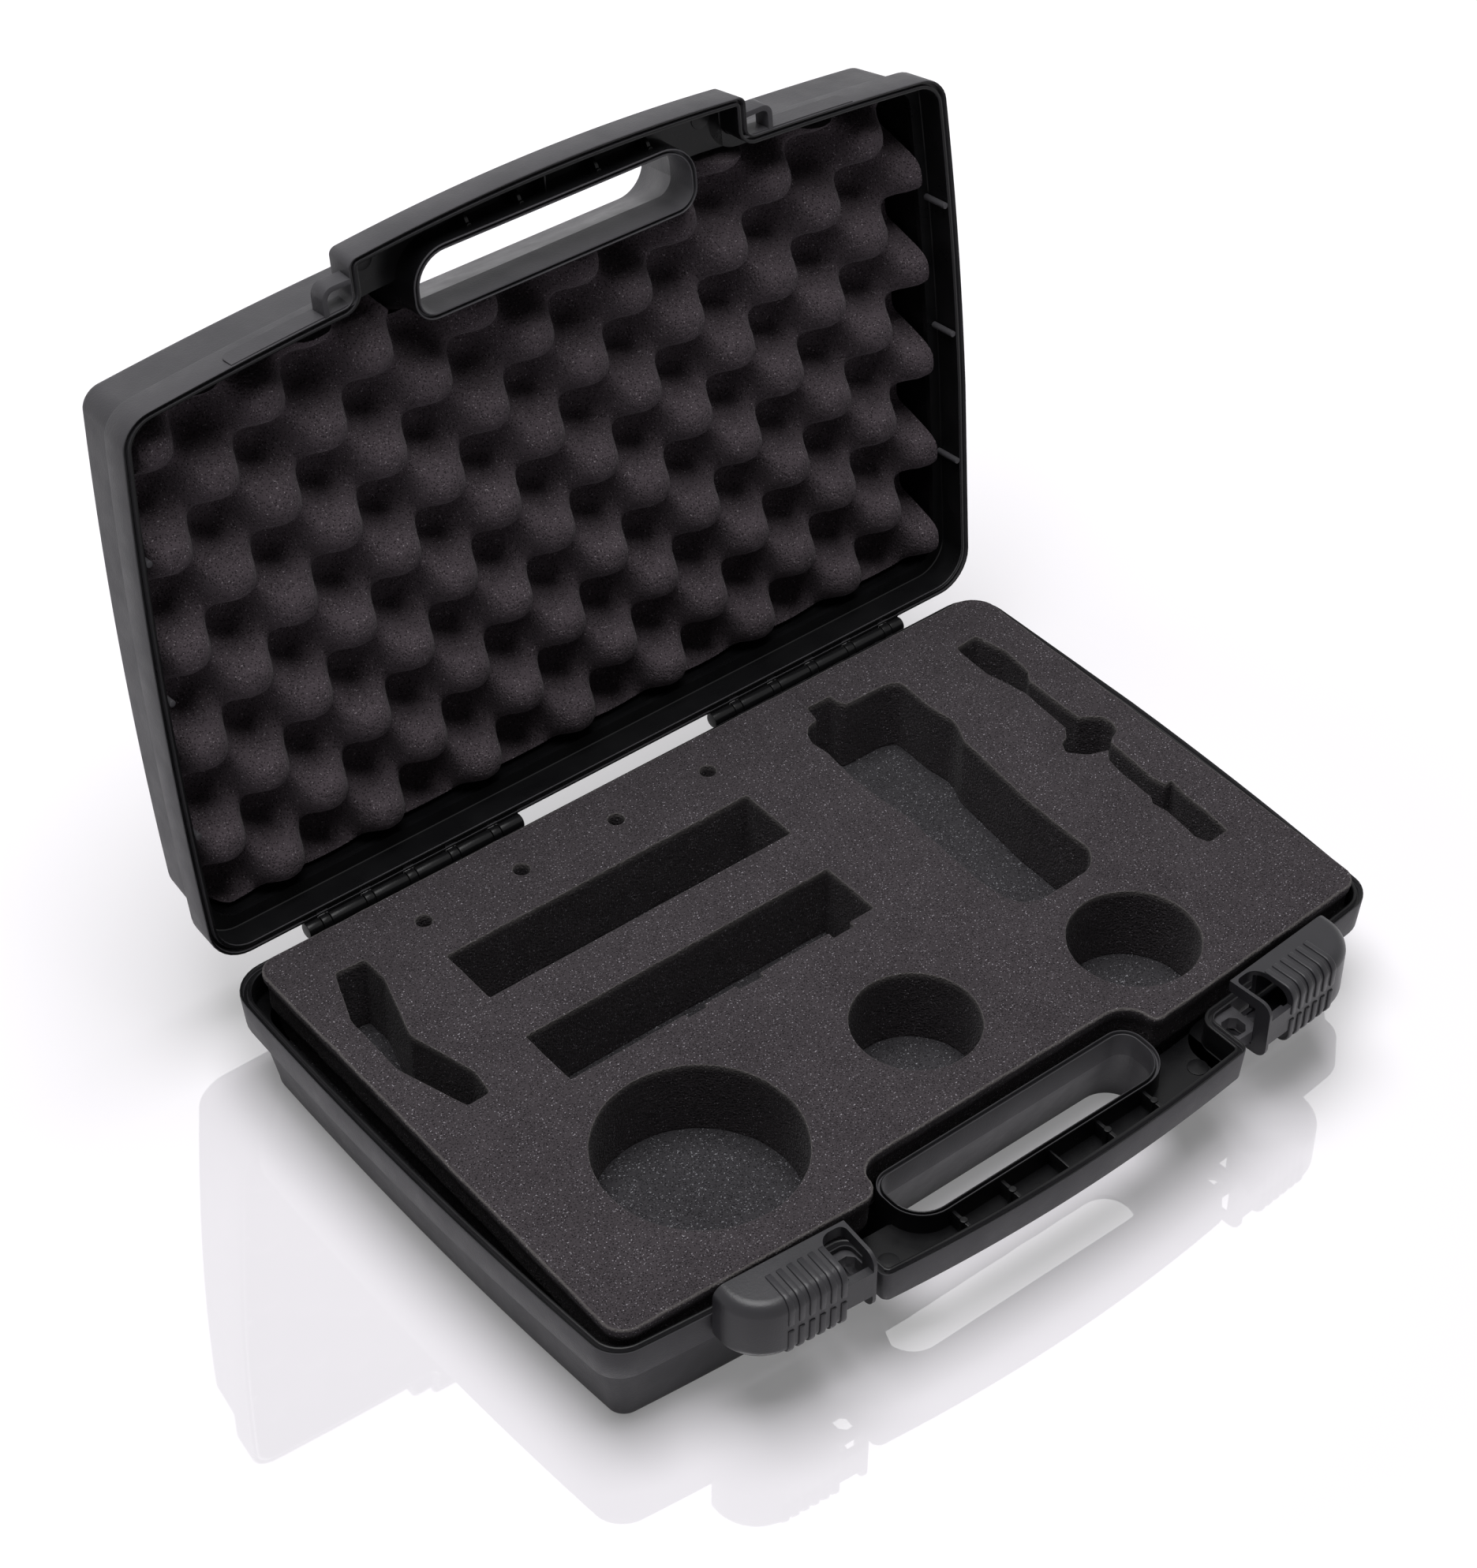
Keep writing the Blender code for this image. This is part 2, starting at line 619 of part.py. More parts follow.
def add_grips(name, latch, side, holder):
    """Raised bars over the top and front of the latch, and a mirrored set below."""
    bm = bmesh.new()
    first = FLANGE + WINDOW_LENGTH
    high = LATCH_HALF_HEIGHT + LATCH_SKIN
    for count in range(GRIP_COUNT):
        start = first + count * GRIP_PITCH
        for z in ((GRIP_MID_GAP, high), (-high, -GRIP_MID_GAP)):
            latch_box(bm, side, (start, start + GRIP_WIDTH), (GRIP_BACK, LATCH_DEPTH + LATCH_SKIN), z)
    comb = add_object(name + "_grip_comb", bm, None, holder)
    bars = loft_object(name + "_grips", latch_stack(side, GRIP_RISE, 0, 0), None, holder)
    combine(bars, comb, "INTERSECT")
    core = loft_object(name + "_grip_core", latch_stack(side, -LATCH_SKIN / 2, 0, -LATCH_SKIN), None, holder)
    combine(bars, core, "DIFFERENCE")
    combine(latch, bars, "UNION")


def add_rail(shell, name, side):
    """The T-shaped rail on the base that holds a latch to the front wall."""
    holder = place_latch(name + "_place", side, 0)
    start = RAIL_START - LATCH_MID_X + LATCH_LENGTH / 2
    end = RAIL_END - LATCH_MID_X + LATCH_LENGTH / 2
    under = LATCH_BACK + RAIL_CLEARANCE
    bm = bmesh.new()
    latch_box(
        bm, side, (start + RAIL_NECK_INSET, end - RAIL_NECK_INSET), (-WALL / 2, under + RAIL_HEAD / 2),
        (-RAIL_NECK_LOW, -RAIL_NECK_HIGH))
    neck = add_object(name + "_neck", bm, None, holder)
    bm = bmesh.new()
    latch_box(bm, side, (start, end), (under, under + RAIL_HEAD), (-RAIL_HEAD_LOW, -RAIL_HEAD_HIGH))
    head = add_object(name + "_head", bm, None, holder)
    combine(shell, neck, "UNION")
    combine(shell, head, "UNION")


def pocket_prism(name, shares, low, high):
    outline = [(u * HALF_WIDTH, v * HALF_DEPTH) for u, v in shares]
    return loft_object(name, [[(x, y, z) for x, y in outline] for z in (low, high)])


def round_cutter(name, x, y, radius, steps, low, high):
    bm = bmesh.new()
    made = bmesh.ops.create_cone(
        bm, cap_ends=True, segments=steps, radius1=radius, radius2=radius, depth=high - low)["verts"]
    bmesh.ops.translate(bm, vec=(x, y, (low + high) / 2), verts=made)
    return add_object(name, bm)


def foam_top_section(z):
    """The insert above the ledge: it lies a little to the right and to the back."""
    section = case_section(FOAM_TOP_INSET, z)
    return [(x * FOAM_TOP_WIDTH_SHARE + FOAM_TOP_SHIFT_X, y + FOAM_TOP_SHIFT_Y, z) for x, y, z in section]


def make_foam_pad(material):
    """The plain bottom layer, which is the floor of every pocket."""
    low = WALL + FOAM_GAP
    high = FOAM_TOP - FOAM_LAYER - FOAM_GAP
    inset = EDGE_INSET + EDGE_RADIUS + FOAM_GAP
    pad = loft_object(
        "foam_base_pad", [case_section(inset, low), case_section(inset, high)], material)
    cut_foam_notch(pad, "foam_base_pad_notch", RIM_Z, RIM_Z, -1, FOAM_TOP, None)
    return pad


def cut_foam_notch(foam, name, rim_z, depth, up, top, parent):
    """Room for the finger slot's tube, open to the front edge."""
    grow = WALL + FOAM_SLOT_GAP
    tube = loft_object(name, slot_stack(grow, rim_z, depth, up, top), None, parent)
    combine(foam, tube, "DIFFERENCE")


def make_foam_insert(material):
    """The thick layer that stands above the rim and holds the pockets."""
    low = FOAM_TOP - FOAM_LAYER
    ledge = RIM_Z - BAND_HEIGHT + WALL
    insert = loft_object(
        "foam_insert",
        [case_section(FOAM_SIDE_GAP + FOAM_EDGE_GAP, low), case_section(FOAM_SIDE_GAP + FOAM_GAP, ledge),
         foam_top_section(ledge + FOAM_GAP), foam_top_section(FOAM_TOP)], material)
    past_low = low - WALL
    past_high = FOAM_TOP + WALL
    cut_foam_notch(insert, "foam_insert_notch", RIM_Z, RIM_Z, -1, past_high, None)
    for label, (x, y, radius) in ROUND_POCKET_SHARES.items():
        cutter = round_cutter(
            "pocket_" + label, x * HALF_WIDTH, y * HALF_DEPTH, radius * HALF_DEPTH, POCKET_STEPS,
            past_low, past_high)
        combine(insert, cutter, "DIFFERENCE")
    for count in range(PIN_HOLE_COUNT):
        x = (PIN_HOLE_FIRST_SHARE + count * PIN_HOLE_PITCH_SHARE) * HALF_WIDTH
        cutter = round_cutter(
            "pin_hole_%d" % count, x, PIN_HOLE_BACK_SHARE * HALF_DEPTH, PIN_HOLE_RADIUS, ROUND_STEPS,
            past_low, past_high)
        combine(insert, cutter, "DIFFERENCE")
    for label, shares in (
            ("back_slot", BACK_SLOT_SHARES), ("middle_slot", MIDDLE_SLOT_SHARES),
            ("left", LEFT_POCKET_SHARES), ("tool", TOOL_POCKET_SHARES),
            ("outer_right", OUTER_RIGHT_SHARES)):
        combine(insert, pocket_prism("pocket_" + label, shares, past_low, past_high), "DIFFERENCE")
    return insert


def make_lid_foam(material, parent):
    """Convoluted foam: a chequered grid of bumps, trimmed to the lid."""
    cell = EGG_HALF_PERIOD / EGG_CELLS_PER_HALF_PERIOD
    columns = 2 * math.ceil(HALF_WIDTH / cell)
    rows = 2 * math.ceil(HALF_DEPTH / cell)
    lid_top = RIM_Z + CLOSED_GAP + LID_DEPTH
    back = lid_top - WALL - FOAM_GAP
    middle = RIM_Z + CLOSED_GAP + EGG_PEAK_BELOW_RIM + EGG_RISE
    bm = bmesh.new()
    bmesh.ops.create_grid(bm, x_segments=columns, y_segments=rows, size=1 / 2)
    width = columns * cell
    depth = rows * cell
    for vert in bm.verts:
        x = vert.co.x * width + EGG_PEAK_X % cell
        y = vert.co.y * depth + EGG_PEAK_Y % cell
        wave_x = math.cos(math.pi * (x - EGG_PEAK_X) / EGG_HALF_PERIOD)
        wave_y = math.cos(math.pi * (y - EGG_PEAK_Y) / EGG_HALF_PERIOD)
        vert.co = (x, y, middle - EGG_RISE * wave_x * wave_y)
    faces = list(bm.faces)
    made = bmesh.ops.extrude_face_region(bm, geom=faces)
    for item in made["geom"]:
        if isinstance(item, bmesh.types.BMVert):
            item.co.z = back + WALL
    foam = add_object("lid_foam", bm, material, parent)
    trim = loft_object(
        "lid_foam_trim",
        [case_section(LID_FOAM_INSET, RIM_Z), case_section(LID_FOAM_INSET, back - LID_FOAM_TAPER),
         case_section(LID_FOAM_INSET + LID_FOAM_EDGE, back)], None, parent)
    cut_foam_notch(trim, "lid_foam_notch", RIM_Z + CLOSED_GAP, LID_DEPTH, 1, RIM_Z - WALL, parent)
    combine(foam, trim, "INTERSECT")
    return foam


def make_pin(name, side, material):
    start = HINGE_START + PIN_END_GAP
    end = HINGE_END - PIN_END_GAP
    bm = bmesh.new()
    middle = side * (start + end) / 2
    half = (end - start) / 2
    add_rod(bm, (-half, 0, 0), (half, 0, 0), PIN_RADIUS, ROUND_STEPS)
    pin = add_object(name, bm, material)
    pin.location = (middle, HINGE_Y, RIM_Z)
    return pin


shell_material = make_material("shell_plastic", SHELL_LOOK)
lid_material = make_material("lid_plastic", SHELL_LOOK)
pad_material = make_material("pad_foam", FOAM_LOOK)
insert_material = make_material("insert_foam", FOAM_LOOK)
egg_material = make_material("lid_foam", LID_FOAM_LOOK)
left_material = make_material("left_latch_plastic", LATCH_LOOK)
right_material = make_material("right_latch_plastic", LATCH_LOOK)
left_pin_material = make_material("left_pin_steel", PIN_LOOK)
right_pin_material = make_material("right_pin_steel", PIN_LOOK)

# The lid's pieces are drawn shut and hang on an empty on the hinge axis, which opens them
hinge = bpy.data.objects.new("lid_hinge", None)
parts.objects.link(hinge)
hinge.location = (0, HINGE_Y, RIM_Z)
hinge.rotation_euler = (-math.radians(LID_OPEN_DEG), 0, 0)
lid_frame = bpy.data.objects.new("lid_frame", None)
parts.objects.link(lid_frame)
lid_frame.parent = hinge
lid_frame.location = (0, -HINGE_Y, -RIM_Z)

ring_spans = []
barrel_spans = []
edge_x = HINGE_START
for count in range(KNUCKLE_COUNT):
    centre_x = KNUCKLE_FIRST_X + count * KNUCKLE_PITCH
    ring_spans.append((centre_x - RING_LENGTH / 2, centre_x + RING_LENGTH / 2))
    barrel_spans.append((edge_x, centre_x - RING_LENGTH / 2 - CLOSED_GAP))
    edge_x = centre_x + RING_LENGTH / 2 + CLOSED_GAP
barrel_spans.append((edge_x, HINGE_END))

base = make_shell("base_shell", RIM_Z, RIM_Z, BAND_HEIGHT, BASE_SLOT_LIP, -1, shell_material, None)
add_knuckles("base_shell", base, ring_spans, RIM_Z, -1, None)
add_rail(base, "left_rail", -1)
add_rail(base, "right_rail", 1)
lid = make_shell(
    "lid_shell", RIM_Z + CLOSED_GAP, LID_DEPTH, LID_HANDLE_DEPTH, LID_SLOT_LIP, 1, lid_material, lid_frame)
add_knuckles("lid_shell", lid, barrel_spans, RIM_Z + CLOSED_GAP, 1, lid_frame)

make_foam_pad(pad_material)
make_foam_insert(insert_material)
make_lid_foam(egg_material, lid_frame)
make_latch("left_latch", -1, 0, left_material)
make_latch("right_latch", 1, RIGHT_LATCH_SHIFT, right_material)
make_pin("left_hinge_pin", -1, left_pin_material)
make_pin("right_hinge_pin", 1, right_pin_material)
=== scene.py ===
# %% [markdown]
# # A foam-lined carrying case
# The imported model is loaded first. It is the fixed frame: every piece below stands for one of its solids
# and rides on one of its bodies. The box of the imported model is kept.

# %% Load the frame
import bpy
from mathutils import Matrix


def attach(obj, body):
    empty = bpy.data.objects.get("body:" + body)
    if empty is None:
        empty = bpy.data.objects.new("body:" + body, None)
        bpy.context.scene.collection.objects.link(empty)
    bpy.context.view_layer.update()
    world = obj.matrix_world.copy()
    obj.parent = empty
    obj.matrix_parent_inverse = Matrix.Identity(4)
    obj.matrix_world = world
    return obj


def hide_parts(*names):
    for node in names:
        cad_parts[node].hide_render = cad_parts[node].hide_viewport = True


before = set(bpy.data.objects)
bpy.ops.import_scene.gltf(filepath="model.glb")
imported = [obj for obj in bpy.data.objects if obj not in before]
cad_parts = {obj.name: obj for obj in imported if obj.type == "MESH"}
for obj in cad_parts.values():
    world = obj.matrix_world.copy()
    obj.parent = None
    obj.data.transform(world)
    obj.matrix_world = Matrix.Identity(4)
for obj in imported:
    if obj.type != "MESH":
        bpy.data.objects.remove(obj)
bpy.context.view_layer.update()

# %% Modules
import math

import bmesh
import bpy
from mathutils import Matrix, Vector, noise

MM = 0.001
print("pieces are drawn in millimetres and scaled by", MM)

# %% [markdown]
# ## Sizes
# All sizes are millimetres: the outline of the case at its rim, the handle, the slot for the
# fingers and the hinge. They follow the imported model, except for the front corners, the taper
# of the lid and the lid's half of the handle, which follow the photograph more closely. The lid
# is drawn shut, above the base, and one turn about the hinge axis then opens it.

# %% Sizes of the case
HALF_X = 170.0
HALF_Y = 109.8
CORNER = 14.0
FRONT_CORNER = 10.0
RIM = 42.1
LID_DEEP = 37.98
BASE_TAPER = 9.0
LID_TAPER = 6.8
BAND = 13.1
WALL = 2.2
HANDLE_X = 79.0
HANDLE_Y = 130.5
LID_HANDLE_Y = 126.8
HANDLE_BOW = 4.8
FRONT_BOW = 10.14
FRONT_NARROW = 0.9717
INNER_CORNER = 3.3
SLOT = (54.5, -112.9, -92.2)
SLOT_CENTRE = (0, -102.5)
SLOT_STRAIGHT = 12.0
SLOT_LEAN = (7.8, 11.5, 5.5)
BASE_SLOT_LIP = 2.4
HINGE = (112.9, 42.1)
OPEN = math.radians(96.8)
CLOSED_GAP = 0.3

shut_to_open = (
    Matrix.Translation((0, HINGE[0], HINGE[1])) @ Matrix.Rotation(-OPEN, 4, "X")
    @ Matrix.Translation((0, -HINGE[0], -HINGE[1])))
print("lid turned by", round(math.degrees(OPEN), 1), "degrees")

# %% [markdown]
# ## Outlines
# Every moulded wall follows a rounded outline. It could be typed as a long list of points, but
# a face on a few corner points whose corners are bevelled gives the same arcs, and the radius
# of each corner stays a single number. The long sides are cut into short steps, because the
# sides of the case swell and its front is bowed: `bow` bends the drawn outline that way.

# %% Rounded outlines and their bow
def outline(corners, radii, steps=8, fills=None):
    """Ordered points of a shape whose corners are rounded by vertex bevels."""
    bm = bmesh.new()
    verts = [bm.verts.new((x, y, 0)) for x, y in corners]
    bm.faces.new(verts)
    for vert, radius in zip(verts, radii):
        if radius > 0:
            bmesh.ops.bevel(
                bm, geom=[vert], offset=radius, offset_type="OFFSET", affect="VERTICES",
                segments=steps, profile=0.5, material=-1)
    for i, cuts in enumerate(fills or ()):
        middle = (Vector(corners[i]) + Vector(corners[(i + 1) % len(corners)])) / 2
        side = [e for e in bm.edges if lies_on(middle, e)]
        if cuts > 1:
            bmesh.ops.bisect_edges(bm, edges=side, cuts=cuts - 1)
    points = [(v.co.x, v.co.y) for v in bm.faces[:][0].verts]
    bm.free()
    return points


def lies_on(point, edge):
    """True if a flat point is on an edge."""
    a, b = edge.verts[0].co.xy, edge.verts[1].co.xy
    return (a - point).length + (b - point).length - (a - b).length < 0.001


def bow(x, y):
    """Bend a drawn point: swelling sides, bowed front and bowed handle."""
    v = max(y / HALF_Y, -1)
    width = 1 - 0.0199 * v * v + 0.0084 * v
    past = min(max((-HALF_Y - y) / (HANDLE_Y - HALF_Y), 0), 1)
    case_bow = FRONT_BOW * (x / HALF_X) ** 2 * max(0, -v)
    handle_bow = HANDLE_BOW * (x * FRONT_NARROW / HANDLE_X) ** 2
    return x * width, y + case_bow * (1 - past) + handle_bow * past


def case_ring(inset, z):
    r, f = CORNER - 0.5 * inset, FRONT_CORNER - 0.5 * inset
    x, y = HALF_X - inset, HALF_Y - inset
    points = outline(((x, y), (-x, y), (-x, -y), (x, -y)), (r, r, f, f), 10, (12, 14, 28, 14))
    return [Vector((*bow(a, b), z)) for a, b in points]


def union_ring(inset, z, handle_y=HANDLE_Y):
    """Case and handle in one outline, with round inner corners where they meet."""
    r, f = CORNER - 0.5 * inset, FRONT_CORNER - 0.5 * inset
    x, y = HALF_X - inset, HALF_Y - inset
    hx, hy = (HANDLE_X - inset) / FRONT_NARROW, handle_y - inset
    inner = INNER_CORNER + inset
    outer = max(0.9, 3.2 - 0.6 * inset)
    corners = ((x, y), (-x, y), (-x, -y), (-hx, -y), (-hx, -hy), (hx, -hy), (hx, -y), (x, -y))
    points = outline(
        corners, (r, r, f, inner, outer, outer, inner, f), 8, (12, 14, 10, 3, 24, 3, 10, 14))
    return [Vector((*bow(a, b), z)) for a, b in points]


def slot_ring(grow, z, lean=0.0):
    """The finger slot, with its ends and back moved out by a share of their lean."""
    x = SLOT[0] + grow + lean * SLOT_LEAN[0]
    front, back = SLOT[1] - grow, SLOT[2] + grow + lean * SLOT_LEAN[1]
    near, far = 11 + grow, 6 + grow + lean * SLOT_LEAN[2]
    points = outline(((x, back), (-x, back), (-x, front), (x, front)), (far, far, near, near), 10)
    return [Vector((a, b, z)) for a, b in points]


def slot_rings(profile, rim, up, depth):
    """Slot outlines for (grow, depth) steps: upright near the rim, leaning away below that."""
    return [
        slot_ring(grow, rim + up * d, max(0.0, (d - SLOT_STRAIGHT) / (depth + WALL - SLOT_STRAIGHT)))
        for grow, d in profile]


print("rim points", len(union_ring(0, 0)), "case points", len(case_ring(0, 0)))

# %% [markdown]
# ## From outlines to closed walls
# A moulded wall is a profile carried round an outline. `sweep` draws the first outline as loose
# edges, extrudes them again and again, and moves each new ring to its own inset and height. A
# closed profile joins the last ring back to the first one, and a solid gets a cap on each end.
# `finish` scales the mesh to metres, merges doubles, turns all faces outwards, and hands the
# piece to the body that it rides on.

# %% Helpers that draw closed solids
def edges_of(verts):
    """The edges at some vertices, each of them once and in the same order each run."""
    return list(dict.fromkeys(e for v in verts for e in v.link_edges))


def bevel_edges(bm, edges, width, segments=3):
    return bmesh.ops.bevel(
        bm, geom=edges, offset=width, offset_type="OFFSET", affect="EDGES", segments=segments,
        profile=0.5, material=-1)["verts"]


def loose_ring(bm, points):
    """Loose vertices joined to a closed ring of edges."""
    verts = [bm.verts.new(p) for p in points]
    edges = [bm.edges.new((a, b)) for a, b in zip(verts, verts[1:] + verts[:1])]
    return verts, edges


def draw_rings(bm, rings):
    """Extrude the first ring of points through all the others; its open ends come back."""
    ring, edges = loose_ring(bm, rings[0])
    first = edges
    for points in rings[1:]:
        made = bmesh.ops.extrude_edge_only(bm, edges=edges)["geom"]
        new = {v for v in made if isinstance(v, bmesh.types.BMVert)}
        ring = [next(e.other_vert(v) for e in v.link_edges if e.other_vert(v) in new) for v in ring]
        for vert, point in zip(ring, points):
            vert.co = point
        edges = [bm.edges.get((a, b)) for a, b in zip(ring, ring[1:] + ring[:1])]
    return first, edges


def sweep(bm, rings, caps=False):
    """A solid from rings: capped at both ends, or closed round from the last to the first."""
    first, last = draw_rings(bm, rings)
    if caps:
        bmesh.ops.contextual_create(bm, geom=first)
        bmesh.ops.contextual_create(bm, geom=last)
    else:
        bmesh.ops.bridge_loops(bm, edges=first + last)


def box(bm, low, high, edge=0.0, segments=2):
    """A block with rounded edges between two corners."""
    low, high = Vector(low), Vector(high)
    made = bmesh.ops.create_cube(bm, size=1)["verts"]
    bmesh.ops.scale(bm, vec=high - low, verts=made)
    bmesh.ops.translate(bm, vec=(high + low) / 2, verts=made)
    return bevel_edges(bm, edges_of(made), edge, segments) if edge else made


def post(bm, centre, radius, low, high, edge=0.3, steps=24):
    """An upright round boss with a rounded end."""
    made = bmesh.ops.create_cone(
        bm, cap_ends=True, segments=steps, radius1=radius, radius2=radius, depth=high - low)["verts"]
    bmesh.ops.translate(bm, vec=(centre[0], centre[1], (low + high) / 2), verts=made)
    return bevel_edges(bm, [e for e in edges_of(made) if e.calc_face_angle(0) > 1], edge)


def plate(bm, outer, z_low, z_high, holes=()):
    """A flat plate with holes, filled between its outlines and extruded; its vertices come back."""
    edges = loose_ring(bm, [Vector((x, y, z_low)) for x, y in outer])[1]
    for hole in holes:
        edges += loose_ring(bm, [Vector((x, y, z_low)) for x, y in hole])[1]
    made = bmesh.ops.triangle_fill(bm, use_beauty=True, use_dissolve=False, edges=edges)["geom"]
    faces = [f for f in made if isinstance(f, bmesh.types.BMFace)]
    flat = dict.fromkeys(v for f in faces for v in f.verts)
    top = bmesh.ops.extrude_face_region(bm, geom=faces)["geom"]
    verts = [v for v in top if isinstance(v, bmesh.types.BMVert)]
    bmesh.ops.translate(bm, vec=(0, 0, z_high - z_low), verts=verts)
    return list(flat) + verts


# %% Helpers that turn them into finished pieces
def raw_object(name, bm, matrix=None):
    """A mesh object in metres, closed and facing outwards."""
    bmesh.ops.remove_doubles(bm, verts=bm.verts, dist=0.0001)
    bmesh.ops.recalc_face_normals(bm, faces=bm.faces)
    if matrix:
        bmesh.ops.transform(bm, matrix=matrix, verts=bm.verts)
        if matrix.determinant() < 0:
            bmesh.ops.reverse_faces(bm, faces=bm.faces)
    bmesh.ops.scale(bm, vec=(MM, MM, MM), verts=bm.verts)
    mesh = bpy.data.meshes.new(name)
    bm.to_mesh(mesh)
    bm.free()
    item = bpy.data.objects.new(name, mesh)
    bpy.context.scene.collection.objects.link(item)
    return item


def carve(item, cutter, operation="DIFFERENCE"):
    """Apply one exact Boolean and drop the cutter."""
    modifier = item.modifiers.new("cut", "BOOLEAN")
    modifier.operation = operation
    modifier.solver = "EXACT"
    modifier.object = cutter
    bpy.context.view_layer.update()
    graph = bpy.context.evaluated_depsgraph_get()
    mesh = bpy.data.meshes.new_from_object(item.evaluated_get(graph))
    old = item.data
    item.modifiers.clear()
    item.data = mesh
    bpy.data.meshes.remove(old)
    bpy.data.objects.remove(cutter, do_unlink=True)
    return item


def move_mesh(item, matrix):
    """Move a finished mesh by a matrix given in millimetres."""
    item.data.transform(Matrix.Scale(MM, 4) @ matrix @ Matrix.Scale(1 / MM, 4))
    if matrix.determinant() < 0:
        item.data.flip_normals()


def gloss_and_shade_inside(item, centre, rim, toward=1, matrix=None):
    """Second material, the smooth plastic whose darker colour is painted shade, on faces below the rim that
    look to a centre (1) or away from it (-1).
    """
    back = matrix.inverted() if matrix else Matrix()
    item.data.materials.append(smooth_shaded_plastic)
    for face in item.data.polygons:
        spot = back @ (face.center / MM)
        normal = back.to_3x3() @ face.normal
        deep = abs(spot.z - rim)
        out = normal.xy.dot(spot.xy - Vector(centre)) * toward
        level = toward > 0 and abs(normal.z) > 0.8 and (deep < 1.7 or normal.z * (rim - spot.z) > 0)
        if level or deep > 1.7 and out < -0.1:
            face.material_index = 1
    return item


made_pieces = []


def finish(item, body, material, replaces=None, sharp=35):
    """Material, shading and body of a finished piece, which also hides the imported part that it replaces."""
    item.data.materials.clear()
    item.data.materials.append(material)
    item.data.shade_smooth()
    item.data.set_sharp_from_angle(angle=math.radians(sharp))
    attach(item, body)
    if replaces:
        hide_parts(replaces)
    made_pieces.append(item.name)
    print(item.name, "faces", len(item.data.polygons))
    return item

# %% [markdown]
# ## Camera
# The camera stands where the photograph was taken from: it was solved from the straight edges
# of both shells and their reflection. The lens is about 83 mm and the picture is a little
# shifted, so both are set here as plain numbers.

# %% Camera
camera_data = bpy.data.cameras.new("photo_camera")
camera_data.lens = 83.0875
camera_data.sensor_width = 36
camera_data.sensor_fit = "AUTO"
camera_data.shift_x = 0.0020639
camera_data.shift_y = -0.0231605
camera_data.clip_end = 20
camera = bpy.data.objects.new("photo_camera", camera_data)
camera.location = (-0.57843328, -0.66189851, 0.89984248)
camera.rotation_euler = [math.radians(a) for a in (48.76281863, -0.40530966, -38.87820364)]
bpy.context.scene.collection.objects.link(camera)
bpy.context.scene.camera = camera
print("camera distance", round(camera.location.length, 3), "m")

# %% [markdown]
# ## Moulded plastic
# The shells and latches are injection moulded in black. Outside they have a fine spark-eroded grain, inside
# they are smoother and shine more; the smooth plastic inside is also given a far darker colour, which is
# painted shade. A single flat black would look painted, so a fine noise drives the bump, a wider one the
# roughness, and faint rubbed streaks lighten the places where hands and shelves have touched the case.

# %% Node helpers and the plastic
def new_material(name):
    material = bpy.data.materials.new(name)
    material.use_nodes = True
    nodes = material.node_tree.nodes
    shader = nodes["Principled BSDF"]
    place = nodes.new("ShaderNodeTexCoord")
    return material, nodes, material.node_tree.links, shader, place.outputs["Object"]


def add_noise(nodes, links, place, scale, detail=3.0, rough=0.5):
    node = nodes.new("ShaderNodeTexNoise")
    node.inputs["Scale"].default_value = scale
    node.inputs["Detail"].default_value = detail
    node.inputs["Roughness"].default_value = rough
    links.new(place, node.inputs["Vector"])
    return node.outputs["Fac"]


def add_ramp(nodes, links, value, stops):
    """A colour ramp of (place, colour or grey) stops."""
    node = nodes.new("ShaderNodeValToRGB")
    ramp = node.color_ramp
    while len(ramp.elements) < len(stops):
        ramp.elements.new(0.5)
    for element, (where, colour) in zip(ramp.elements, stops):
        element.position = where
        element.color = (*colour, 1) if isinstance(colour, tuple) else (colour, colour, colour, 1)
    links.new(value, node.inputs["Fac"])
    return node.outputs["Color"]


def add_bump(nodes, links, height, strength, distance, normal=None):
    node = nodes.new("ShaderNodeBump")
    node.inputs["Strength"].default_value = strength
    node.inputs["Distance"].default_value = distance
    links.new(height, node.inputs["Height"])
    if normal:
        links.new(normal, node.inputs["Normal"])
    return node.outputs["Normal"]


def moulded_plastic(name, dark, light, rough_low, rough_high, grain, grain_scale, ior):
    """Black plastic: moulded grain, uneven gloss and faint rubbed patches."""
    material, nodes, links, shader, place = new_material(name)
    patches = add_noise(nodes, links, place, 38, 5, 0.6)
    links.new(add_ramp(nodes, links, patches, [(0.35, dark), (0.75, light)]), shader.inputs["Base Color"])
    cloud = add_noise(nodes, links, place, 90, 4, 0.6)
    links.new(
        add_ramp(nodes, links, cloud, [(0.3, rough_low), (0.7, rough_high)]), shader.inputs["Roughness"])
    fine = add_noise(nodes, links, place, grain_scale, 2, 0.6)
    links.new(add_bump(nodes, links, fine, grain, 0.0002), shader.inputs["Normal"])
    shader.inputs["IOR"].default_value = ior
    return material


grained = moulded_plastic(
    "grained_plastic", (0.042, 0.041, 0.045), (0.056, 0.054, 0.059), 0.42, 0.54, 0.5, 1400, 1.27)
# The smooth plastic has less grain and more gloss, and its far darker colour is painted shade for the faces
# inside the case, the handle's bay and the hinge.
smooth_shaded_plastic = moulded_plastic(
    "smooth_plastic_painted_shade", (0.004, 0.004, 0.0045), (0.007, 0.007, 0.0075), 0.24, 0.36, 0.12, 900, 1.25)
latch_black = moulded_plastic(
    "latch_plastic", (0.018, 0.0175, 0.020), (0.025, 0.024, 0.028), 0.30, 0.40, 0.25, 1500, 1.36)
print("plastics", grained.name, smooth_shaded_plastic.name, latch_black.name)
